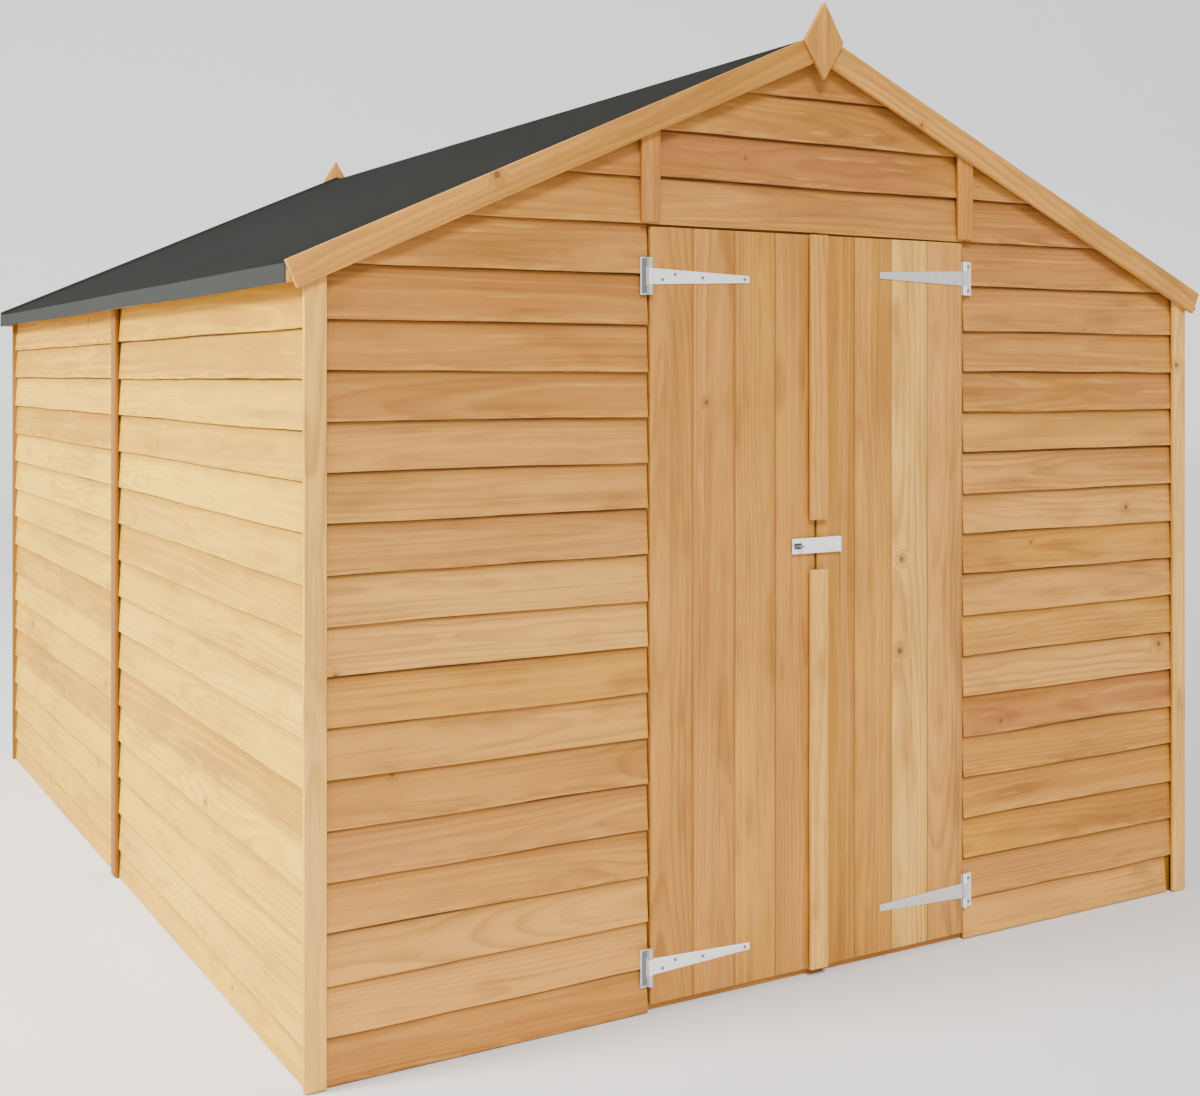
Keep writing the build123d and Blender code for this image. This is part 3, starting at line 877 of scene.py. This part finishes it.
class SHED_OT_other_walls(bpy.types.Operator):
    """Boards the back wall and the two side walls, each in two panels"""

    bl_idname = "shed.other_walls"
    bl_label = "Back and side boards"

    def execute(self, context):
        timber = context.scene.shed_timber
        half_joint = timber.panel_joint / 2
        walls = (("back_wall_cladding", on_back, 0, gable_lips(timber), dipped_wood(context)),
                 ("left_wall_cladding", on_left, 1, side_lips(timber), lit_side_wood(context)),
                 ("right_wall_cladding", on_right, 1, side_lips(timber), dipped_wood(context)))
        for node, place, axis, lips, finish in walls:
            low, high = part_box(node)
            name = node.replace("cladding", "boards")
            near = lapped_panel(name + "_a", place, (low[axis], -half_joint), lips, timber)
            far = lapped_panel(name + "_b", place, (half_joint, high[axis]), lips, timber)
            wall = join_as(name, [near, far])
            hand_in(wall, "shed", "cladding", finish, node)
        return {"FINISHED"}


# Planed timbers taken from the frame

# Points of a CAD node closer than this are one, and faces that turn less than this are one
MERGE_NEAR = 0.00001
FLAT_ANGLE = math.radians(1.0)
# A face whose normal lies more along a timber than this is an end of it
END_SHARE = 0.3
FRAME_TONES = (0.25, 0.70)
LEDGE_TONES = (0.4, 0.7)


def islands(mesh):
    """Vertex numbers of each separate timber in a mesh, lowest first."""
    shape = bmesh.new()
    shape.from_mesh(mesh)
    waiting = set(shape.verts)
    groups = []
    while waiting:
        reach = [waiting.pop()]
        group = []
        while reach:
            vertex = reach.pop()
            group.append(vertex.index)
            for edge in vertex.link_edges:
                other = edge.other_vert(vertex)
                if other in waiting:
                    waiting.remove(other)
                    reach.append(other)
        groups.append(group)
    shape.free()
    return sorted(groups, key=lambda group: min((mesh.vertices[n].co.z, n) for n in group))


def lie_of_timber(mesh, group):
    """Directions along a timber, across it and into its broad face."""
    members = set(group)
    edges = [edge for edge in mesh.edges if edge.vertices[0] in members]
    longest = max(edges, key=lambda edge: (
        mesh.vertices[edge.vertices[0]].co - mesh.vertices[edge.vertices[1]].co).length)
    along = (mesh.vertices[longest.vertices[1]].co - mesh.vertices[longest.vertices[0]].co).normalized()
    faces = [face for face in mesh.polygons if face.vertices[0] in members]
    broad = max(faces, key=lambda face: face.area * (abs(face.normal.dot(along)) < END_SHARE))
    inward = broad.normal.copy()
    return along, inward.cross(along), inward


def grain_timbers(piece, tones, along=None):
    """Gives each timber its own grain along its length. Tones are two limits, or a list with one for each."""
    mesh = piece.data
    rng = random.Random(piece.name)
    grain = [None] * len(mesh.vertices)
    board = [None] * len(mesh.vertices)
    for number, group in enumerate(islands(mesh)):
        length, width, inward = lie_of_timber(mesh, group)
        if along is not None:
            length = Vector(along)
            width = inward.cross(length)
        centre = sum((mesh.vertices[n].co for n in group), Vector()) / len(group)
        side, heart, lean = log_place(rng)
        tone = tones[number] if isinstance(tones, list) else rng.uniform(*tones)
        seed = rng.uniform(*TIMBER_SEEDS)
        for n in group:
            point = mesh.vertices[n].co - centre
            grain[n] = (point.dot(length), point.dot(width) + side, point.dot(inward) + heart)
            board[n] = (seed, tone, lean)
    set_vectors(mesh, "grain", grain)
    set_vectors(mesh, "board", board)


def merged_copy(node, name):
    """A copy of a CAD node with its triangles merged into whole faces."""
    piece = new_copy(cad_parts[node], name)
    edit_mesh(piece)
    bpy.ops.mesh.remove_doubles(threshold=MERGE_NEAR)
    bpy.ops.mesh.dissolve_limited(angle_limit=FLAT_ANGLE)
    leave_edit()
    return piece


def planed_timber(context, node, body, slot, tones, along=None, finish=dipped_wood, foot=None):
    """A CAD node's timbers with rounded arrises, their own grain and, if asked, a level foot."""
    timber = context.scene.shed_timber
    piece = merged_copy(node, node + "_planed")
    if foot is not None:
        cut_away(piece, (0, 0, foot), (0, 0, -1))
    round_edges(piece, timber.planed_arris)
    grain_timbers(piece, tones, along)
    hand_in(piece, body, slot, finish(context), node)


class SHED_OT_trims(bpy.types.Operator):
    """Planes the corner trims, cover strips, bargeboards and finials"""

    bl_idname = "shed.trims"
    bl_label = "Trims and bargeboards"

    def execute(self, context):
        planed_timber(context, "front_corner_trims", "shed", "trim", tones=(-0.85, -0.60))
        planed_timber(context, "front_gable_trims", "shed", "trim", tones=(0.70, 0.90))
        for node in ("back_corner_trims", "left_wall_cover_strip"):
            planed_timber(context, node, "shed", "trim", tones=(0.3, 1.0), finish=strip_finish)
        for node in ("back_wall_cover_strip", "right_wall_cover_strip"):
            planed_timber(context, node, "shed", "trim", tones=(0.55, 0.85))
        planed_timber(context, "front_left_bargeboard", "shed", "trim", tones=(0.60, 0.75))
        flap_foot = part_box("roof_felt_left")[0].z - FLAP_DROP
        for node in ("back_left_bargeboard", "back_right_bargeboard"):
            planed_timber(context, node, "shed", "trim", tones=(0.75, 1.0), foot=flap_foot)
        planed_timber(context, "front_right_bargeboard", "shed", "trim", tones=(0.25, 0.35))
        planed_timber(context, "finials", "shed", "trim", tones=(0.5, 0.7), along=(0, 0, 1))
        return {"FINISHED"}


class SHED_OT_framing(bpy.types.Operator):
    """Finishes the studs, rails, purlins and bearers of the frame"""

    bl_idname = "shed.framing"
    bl_label = "Frame timbers"

    def execute(self, context):
        for wall in ("left", "right", "front", "back"):
            for part in ("studs", "rails"):
                planed_timber(context, f"{wall}_wall_{part}", "shed", "framing", FRAME_TONES)
        for node in ("roof_purlins", "ridge_board", "floor_bearers"):
            planed_timber(context, node, "shed", "framing", FRAME_TONES)
        planed_timber(context, "eaves_rails", "shed", "framing", (-0.9, -0.6))
        return {"FINISHED"}


class SHED_OT_decks(bpy.types.Operator):
    """Gives the floor and the roof decks their strand-board face"""

    bl_idname = "shed.decks"
    bl_label = "Floor and roof decks"

    def execute(self, context):
        finish = finish_named("strand_board_face", strand_board, context.scene.shed_finish)
        for node in ("floor_deck", "roof_deck_left", "roof_deck_right"):
            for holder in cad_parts[node].material_slots:
                holder.material = finish
        return {"FINISHED"}


# Doors

# Tones of each leaf's boards from left to right, and of the cover strips from the lowest up
LEFT_LEAF_TONES = (0.72, 0.62, 0.62, 0.66)
RIGHT_LEAF_TONES = (1.55, 0.70, -0.75, 0.30)
STRIP_TONES = [-0.70, 0.30]
JOINT_ROUND = 0.0011
JOINT_GAP = 0.0012
# How much narrower the shade beside a joint is than the shade under a lip
JOINT_SHADE = 3.5


def boarded_leaf(node, name, tones, timber):
    """A door leaf's upright boards, with rounded joints."""
    low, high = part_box(node)
    rng = random.Random(name)
    width = (high.x - low.x) / timber.door_boards
    boards = []
    for number in range(timber.door_boards):
        middle = (low.x + width * (number + 0.5), (low.y + high.y) / 2, (low.z + high.z) / 2)
        board = new_block(middle, (width - JOINT_GAP, high.y - low.y, high.z - low.z))
        round_edges(board, JOINT_ROUND)
        side, heart, lean = log_place(rng)
        seed = rng.uniform(*TIMBER_SEEDS)
        grain = [(v.co.z, v.co.x - middle[0] + side, v.co.y - middle[1] + heart) for v in board.data.vertices]
        set_vectors(board.data, "grain", grain)
        set_vectors(board.data, "board", [(seed, tones[number % len(tones)], lean)] * len(grain))
        joint = low.x + width * (number + 1)
        # The distance to the next joint feeds the finish's painted shade: a soft darkening and a dark line
        # beside each joint
        to_joint = [(joint - v.co.x) * JOINT_SHADE - FAR_EDGE for v in board.data.vertices]
        set_vectors(board.data, "edge", [(0.0, distance, 0.0) for distance in to_joint])
        boards.append(board)
    return join_as(name, boards)


class SHED_OT_doors(bpy.types.Operator):
    """Boards both door leaves and finishes their ledges, braces and cover strips"""

    bl_idname = "shed.doors"
    bl_label = "Door leaves"

    def execute(self, context):
        timber = context.scene.shed_timber
        finish = dipped_wood(context)
        for side, tones in (("left", LEFT_LEAF_TONES), ("right", RIGHT_LEAF_TONES)):
            node = f"{side}_door_boards"
            leaf = boarded_leaf(node, f"{side}_leaf_boards", tones, timber)
            hand_in(leaf, f"{side}_door", "door_boarding", finish, node)
            planed_timber(context, f"{side}_door_ledges", f"{side}_door", "framing", LEDGE_TONES)
            planed_timber(context, f"{side}_door_braces", f"{side}_door", "framing", LEDGE_TONES)
        planed_timber(context, "meeting_strips", "right_door", "trim", STRIP_TONES)
        return {"FINISHED"}


# Ironwork

ZINC_ROUGHNESS = 0.30
GREYER_ZINC_ROUGHNESS = 0.36
SCREW_ROUGHNESS = 0.38
# A hinge plate's front counts as a plate from this area on
TRAY_LEAST_AREA = 0.0006
TRAY_RIM = 0.0036
TRAY_DEPTH = 0.0006
# How dark the painted shade on the hinges' trays and knuckles is
LEFT_TRAY_SHADE = 1.0
RIGHT_TRAY_SHADE = 0.40
LEFT_KNUCKLE_SHADE = 0.55
RIGHT_KNUCKLE_SHADE = 0.0
KNUCKLE_RADIUS = 0.005
KNUCKLE_REACH_SHARE = 1.1


def press_tray(piece):
    """Presses a shallow tray into the front of each plate of a piece."""
    edit_chosen(piece, "FACE", piece.data.polygons,
                lambda face: face.normal.y < -0.99 and face.area > TRAY_LEAST_AREA)
    bpy.ops.mesh.inset(thickness=TRAY_RIM, depth=-TRAY_DEPTH)
    leave_edit()
    return {n for face in piece.data.polygons if face.select for n in face.vertices}


def hinge_pin():
    """How far the hinges' pins stand from the middle of the front."""
    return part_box("right_hinge_straps")[1].x - KNUCKLE_RADIUS


def shade_hinge(piece, pressed):
    """Paints shade on the trays and the knuckles, the left pair's more than the right's."""
    inner = hinge_pin() - KNUCKLE_RADIUS * KNUCKLE_REACH_SHARE
    outer = hinge_pin() + KNUCKLE_RADIUS * KNUCKLE_REACH_SHARE
    levels = []
    for vertex in piece.data.vertices:
        left = vertex.co.x < 0
        level = 0.0
        if vertex.index in pressed:
            level = LEFT_TRAY_SHADE if left else RIGHT_TRAY_SHADE
        elif inner < abs(vertex.co.x) < outer:
            level = LEFT_KNUCKLE_SHADE if left else RIGHT_KNUCKLE_SHADE
        levels.append((level, 0.0, 0.0))
    set_vectors(piece.data, "tray", levels)


def plated_iron(context, node, body, finish):
    """A CAD node's ironwork with softened edges."""
    piece = merged_copy(node, node + "_plated")
    # Hinge plates get painted shade in their trays and by their knuckles
    if node == "hinge_plates":
        shade_hinge(piece, press_tray(piece))
    round_edges(piece, context.scene.shed_timber.metal_arris)
    hand_in(piece, body, "zinc_steel", finish, node)


# Sizes of a screw's head as shares of its radius
HEAD_DEPTH_SHARE = 0.9
HEAD_ROUND_SHARE = 0.45
RECESS_DEPTH_SHARE = 0.7
RECESS_LENGTH_SHARE = 1.1
RECESS_WIDTH_SHARE = 0.26
FRONT_SLACK = 0.0001


def screw_head(radius):
    """One pan-head screw with a cross recess, facing the front."""
    bpy.ops.object.select_all(action="DESELECT")
    bpy.ops.mesh.primitive_cylinder_add(
        vertices=20, radius=radius, depth=radius * HEAD_DEPTH_SHARE, rotation=(math.pi / 2, 0, 0))
    head = bpy.context.object
    bpy.ops.object.transform_apply(location=True, rotation=True, scale=True)
    points = head.data.vertices
    front = min(vertex.co.y for vertex in points)

    def rims_front(edge):
        return all(points[n].co.y < front + FRONT_SLACK for n in edge.vertices)

    edit_chosen(head, "EDGE", head.data.edges, rims_front)
    bpy.ops.mesh.bevel(offset=radius * HEAD_ROUND_SHARE, segments=3)
    leave_edit()
    long, narrow = radius * RECESS_LENGTH_SHARE, radius * RECESS_WIDTH_SHARE
    for wide, tall in ((long, narrow), (narrow, long)):
        cutter = new_block((0, front, 0), (wide, radius * RECESS_DEPTH_SHARE, tall))
        pick_only(head)
        recess = head.modifiers.new("recess", "BOOLEAN")
        recess.object = cutter
        recess.operation = "DIFFERENCE"
        bpy.ops.object.modifier_apply(modifier=recess.name)
        remove(cutter)
    pick_only(head)
    bpy.ops.object.shade_smooth_by_angle(angle=SMOOTH_ANGLE)
    return head


# Height of a hinge beside its pin, and thickness of its metal
HINGE_HEIGHT = 0.079
HINGE_METAL = 0.0025
# Places of a strap's screws: in from the pin and up from the hinge's middle
STRAP_SCREWS = ((0.0315, -0.0070), (0.0635, 0.0055), (0.1330, 0.0), (0.2430, 0.0))
# Places of the plates' screws: out from the pin and up from the hinge's middle
PLATE_SCREW_REACH = 0.0135
PLATE_SCREW_RISES = {"left": (0.0,), "right": (-0.028, 0.028)}
# Places of the hasp's screws: off the plate's middle and in from its left end
HASP_SCREW_RISE = 0.010
HASP_SCREW_INSET = 0.012


def screw_places(face):
    """Where the screws stand: on each hinge's plate and strap, and on the hasp's plate."""
    places = {"shed": [], "left_door": [], "right_door": []}
    pin = hinge_pin()
    half = HINGE_HEIGHT / 2
    for side, name in ((-1, "left"), (1, "right")):
        strap_low, strap_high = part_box(f"{name}_hinge_straps")
        for height in (strap_low.z + half, strap_high.z - half):
            for rise in PLATE_SCREW_RISES[name]:
                places["shed"].append((side * (pin + PLATE_SCREW_REACH), face, height + rise))
            for reach, rise in STRAP_SCREWS:
                places[f"{name}_door"].append((side * (pin - reach), face, height + rise))
    low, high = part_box("hasp_plate")
    middle = (low.z + high.z) / 2
    for rise in (-HASP_SCREW_RISE, HASP_SCREW_RISE):
        places["right_door"].append((low.x + HASP_SCREW_INSET, face, middle + rise))
    return places


class SHED_OT_ironwork(bpy.types.Operator):
    """Finishes the tee hinges and the hasp, and drives their screws"""

    bl_idname = "shed.ironwork"
    bl_label = "Hinges, hasp and screws"

    def execute(self, context):
        tints = context.scene.shed_finish
        bright = finish_named("zinc_plated_steel", zinc_plate, tints.zinc, ZINC_ROUGHNESS)
        greyer = finish_named("dulled_zinc", zinc_plate, tints.dulled_zinc, GREYER_ZINC_ROUGHNESS)
        dark = finish_named("screw_steel", zinc_plate, tints.screw, SCREW_ROUGHNESS)
        # The staple wears the dark screw steel as painted shade, for the staple lying in shadow in the hasp's
        # slot
        for node, body, finish in (
                ("hinge_plates", "shed", bright), ("left_hinge_straps", "left_door", bright),
                ("right_hinge_straps", "right_door", greyer), ("hasp_plate", "right_door", bright),
                ("hasp_strap", "hasp", bright), ("hasp_staple", "left_door", dark)):
            plated_iron(context, node, body, finish)
        head = screw_head(context.scene.shed_timber.screw_radius)
        face = DOOR_FACE - HINGE_METAL
        for body, places in screw_places(face).items():
            screws = []
            for number, place in enumerate(places):
                screw = new_copy(head, f"{body}_screw_{number}")
                for vertex in screw.data.vertices:
                    vertex.co += Vector(place)
                screws.append(screw)
            piece = join_as(f"{body}_screws", screws)
            hand_in(piece, body, "zinc_steel", greyer if body == "right_door" else dark)
        remove(head)
        return {"FINISHED"}


# Roof

# Radius of the felt's bend at the eave, and rows of points on its slope, round the bend and down the flap
FELT_BEND = 0.006
SLOPE_ROWS = 46
BEND_ROWS = 6
FLAP_ROWS = 5
# Rows of points along the felt's length
FELT_LENGTHS = 110
# Felt points closer than this are one
MERGE_GAP = 0.00005
# How far the flap hangs below the CAD felt, and how much its foot waves
FLAP_DROP = 0.005
FLAP_WAVE = 0.0008
# The felt counts as part of the slope while its normal leans out less than this
FLAT_LEAN = 0.3
# How high the felt climbs over a rear bargeboard, and how far it laps past the CAD felt's end
REAR_LIFT = 0.0082
REAR_LAP = 0.0136
REAR_TURN = 0.0008
# The last rows: how far short of the rear end each lies, and its share of the climb
REAR_ROWS = ((0.030, 0.0), (0.003, 1.0), (-REAR_LAP, 1.0), (-REAR_LAP - REAR_TURN, 0.0))


def felt_profile(node, timber):
    """Points of the felt's outer face from the ridge to the foot of its flap, with their outward normals."""
    low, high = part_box(node)
    reach = max(abs(low.x), abs(high.x))
    pitch = timber.roof_pitch
    slope_out = Vector((math.sin(pitch), 0, math.cos(pitch)))
    bend_x = reach - FELT_BEND
    bend_z = high.z - math.tan(pitch) * bend_x - FELT_BEND / math.cos(pitch)
    centre = Vector((bend_x, 0, bend_z))
    first = centre + slope_out * FELT_BEND
    points = []
    for row in range(SLOPE_ROWS):
        share = row / SLOPE_ROWS
        x = first.x * share
        points.append((Vector((x, 0, high.z - math.tan(pitch) * x)), slope_out))
    for turn in range(BEND_ROWS + 1):
        angle = (math.pi / 2 - pitch) * (1 - turn / BEND_ROWS)
        out = Vector((math.cos(angle), 0, math.sin(angle)))
        points.append((centre + out * FELT_BEND, out))
    for step in range(1, FLAP_ROWS + 1):
        z = bend_z + (low.z - bend_z) * step / FLAP_ROWS
        points.append((Vector((reach, 0, z)), Vector((1, 0, 0))))
    return points


def felt_sheet(node, name, hand, timber):
    """One slope's felt with slack ripples and a turned-down flap."""
    low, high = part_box(node)
    rng = random.Random(name)
    profile = felt_profile(node, timber)
    bpy.ops.object.select_all(action="DESELECT")
    bpy.ops.mesh.primitive_grid_add(x_subdivisions=len(profile) - 1, y_subdivisions=FELT_LENGTHS, size=1)
    sheet = bpy.context.object
    sheet.name = name
    phases = [rng.uniform(*WAVE_PHASES) for _ in range(5)]
    last = len(profile) - 1
    turned = []
    # The last rows of the length climb over the rear bargeboard
    rear = FELT_LENGTHS - len(REAR_ROWS)
    reach = high.y - REAR_ROWS[0][0] - low.y
    for vertex in sheet.data.vertices:
        row = round((vertex.co.x + 0.5) * last)
        column = round((vertex.co.y + 0.5) * FELT_LENGTHS)
        point, out = profile[row]
        flat = 1.0 if out.x ** 2 < FLAT_LEAN else 0.0
        y = low.y + reach * min(column / (rear + 1), 1.0)
        climb = 0.0
        if column > rear:
            short, climb = REAR_ROWS[column - rear - 1]
            y = high.y - (short if flat else max(short, 0.0))
        share = row / last
        slack = math.sin(3.1 * y + phases[0] + 2.0 * share) + 0.6 * math.sin(7.3 * y + phases[1])
        slack += 0.5 * math.sin(17.0 * y + phases[2] + 5.0 * share) * share
        slack += 0.7 * math.sin(9.0 * share + phases[3])
        lift = timber.felt_ripple * (slack * 0.4 + 0.2) * min(1.0, 6 * share)
        lift += climb * REAR_LIFT * flat
        foot = 0.0
        if row == last:
            foot = -FLAP_DROP + FLAP_WAVE * math.sin(5.0 * y + phases[4])
        place = point + out * lift
        vertex.co = (hand * place.x, y, place.z + foot)
        turned.append((out.x ** 2, 0.0, 0.0))
    set_vectors(sheet.data, "turned", turned)
    edit_mesh(sheet)
    bpy.ops.mesh.remove_doubles(threshold=MERGE_GAP)
    bpy.ops.mesh.normals_make_consistent(inside=False)
    leave_edit()
    if sheet.data.polygons[0].normal.z < 0:
        edit_mesh(sheet)
        bpy.ops.mesh.flip_normals()
        leave_edit()
    pick_only(sheet)
    thick = sheet.modifiers.new("thickness", "SOLIDIFY")
    thick.thickness = timber.felt_thickness
    thick.offset = -1.0
    bpy.ops.object.modifier_apply(modifier=thick.name)
    bpy.ops.object.shade_smooth_by_angle(angle=ARRIS_ANGLE)
    return sheet


class SHED_OT_felt(bpy.types.Operator):
    """Lays the felt on both slopes and turns it down at the eaves"""

    bl_idname = "shed.felt"
    bl_label = "Roofing felt"

    def execute(self, context):
        finish = finish_named("mineral_felt", mineral_felt, context.scene.shed_finish)
        for side, hand in (("left", -1), ("right", 1)):
            node = f"roof_felt_{side}"
            sheet = felt_sheet(node, f"felt_{side}_slope", hand, context.scene.shed_timber)
            hand_in(sheet, "shed", "roofing_felt", finish, node)
        return {"FINISHED"}


# Stage

# The floor's rows and the radius of its sweep, where the two lights stand and aim, and the camera's sensor
FLOOR_ROWS = 60
SWEEP_RADIUS = 5.0
KEY_PLACE = (-7.0, -0.6, 4.6)
KEY_TARGET = (-1.2, 0, 0.9)
KEY_WIDTH = 2.2
FILL_PLACE = (-1.8, -6.2, 5.6)
FILL_TARGET = (0, -1.5, 0.9)
FILL_ANGLE = math.radians(18)
SENSOR_WIDTH = 36.0


def new_light(name, kind, place, target, power):
    bpy.ops.object.select_all(action="DESELECT")
    bpy.ops.object.light_add(type=kind, location=place)
    light = bpy.context.object
    light.name = name
    light.data.energy = power
    aim = Vector(target) - Vector(place)
    light.rotation_euler = aim.to_track_quat("-Z", "Y").to_euler()
    return light


class SHED_OT_stage(bpy.types.Operator):
    """Sets the pale floor that sweeps up behind, the soft lights and the camera"""

    bl_idname = "shed.stage"
    bl_label = "Studio"

    def execute(self, context):
        studio = context.scene.shed_stage
        bpy.ops.object.select_all(action="DESELECT")
        bpy.ops.mesh.primitive_grid_add(x_subdivisions=1, y_subdivisions=FLOOR_ROWS, size=studio.floor_size)
        floor = context.object
        floor.name = "studio_floor"
        for vertex in floor.data.vertices:
            past = vertex.co.y - studio.sweep_start
            if past > 0:
                turn = min(past / SWEEP_RADIUS, math.pi / 2)
                vertex.co.y = studio.sweep_start + SWEEP_RADIUS * math.sin(turn)
                vertex.co.z = SWEEP_RADIUS * (1 - math.cos(turn)) + past - SWEEP_RADIUS * turn
        bpy.ops.object.shade_smooth()
        wear(floor, studio_floor("pale_floor", context.scene.shed_finish))
        key = new_light("key_light", "AREA", KEY_PLACE, KEY_TARGET, studio.key_power)
        key.data.shape = "DISK"
        key.data.size = KEY_WIDTH
        fill = new_light("fill_light", "SUN", FILL_PLACE, FILL_TARGET, studio.fill_power)
        fill.data.angle = FILL_ANGLE
        world = bpy.data.worlds.new("white_surround")
        world.use_nodes = True
        surround = world.node_tree.nodes["Background"]
        surround.inputs["Color"].default_value = (1, 1, 1, 1)
        surround.inputs["Strength"].default_value = studio.surround
        context.scene.world = world
        lens = bpy.data.cameras.new("photo_camera")
        lens.sensor_fit = "HORIZONTAL"
        lens.sensor_width = SENSOR_WIDTH
        lens.lens = studio.lens
        lens.shift_y = studio.frame_drop
        camera = bpy.data.objects.new("photo_camera", lens)
        context.scene.collection.objects.link(camera)
        camera.location = studio.camera_place
        camera.rotation_euler = (math.pi / 2, 0, studio.camera_turn)
        context.scene.camera = camera
        return {"FINISHED"}


class SHED_PT_panel(bpy.types.Panel):
    """Lists the steps of the shed and their settings"""

    bl_idname = "SHED_PT_panel"
    bl_label = "Garden Shed"
    bl_space_type = "VIEW_3D"
    bl_region_type = "UI"
    bl_category = "Shed"

    def draw(self, context):
        for step in steps:
            self.layout.operator(step.bl_idname)
        for group in (context.scene.shed_timber, context.scene.shed_finish, context.scene.shed_stage):
            box = self.layout.box()
            for key in group.__annotations__:
                box.prop(group, key)


settings_groups = {
    "shed_timber": ShedTimberSettings,
    "shed_finish": ShedFinishSettings,
    "shed_stage": ShedStageSettings,
}
steps = (
    SHED_OT_front_boards,
    SHED_OT_other_walls,
    SHED_OT_trims,
    SHED_OT_framing,
    SHED_OT_decks,
    SHED_OT_doors,
    SHED_OT_ironwork,
    SHED_OT_felt,
    SHED_OT_stage,
)


def register():
    for name, group in settings_groups.items():
        bpy.utils.register_class(group)
        setattr(bpy.types.Scene, name, PointerProperty(type=group))
    for step in steps:
        bpy.utils.register_class(step)
    bpy.utils.register_class(SHED_PT_panel)


def unregister():
    bpy.utils.unregister_class(SHED_PT_panel)
    for step in reversed(steps):
        bpy.utils.unregister_class(step)
    for name, group in settings_groups.items():
        delattr(bpy.types.Scene, name)
        bpy.utils.unregister_class(group)


def main():
    register()
    bpy.ops.shed.front_boards()
    bpy.ops.shed.other_walls()
    bpy.ops.shed.trims()
    bpy.ops.shed.framing()
    bpy.ops.shed.decks()
    bpy.ops.shed.doors()
    bpy.ops.shed.ironwork()
    bpy.ops.shed.felt()
    bpy.ops.shed.stage()


if __name__ == "__main__":
    main()
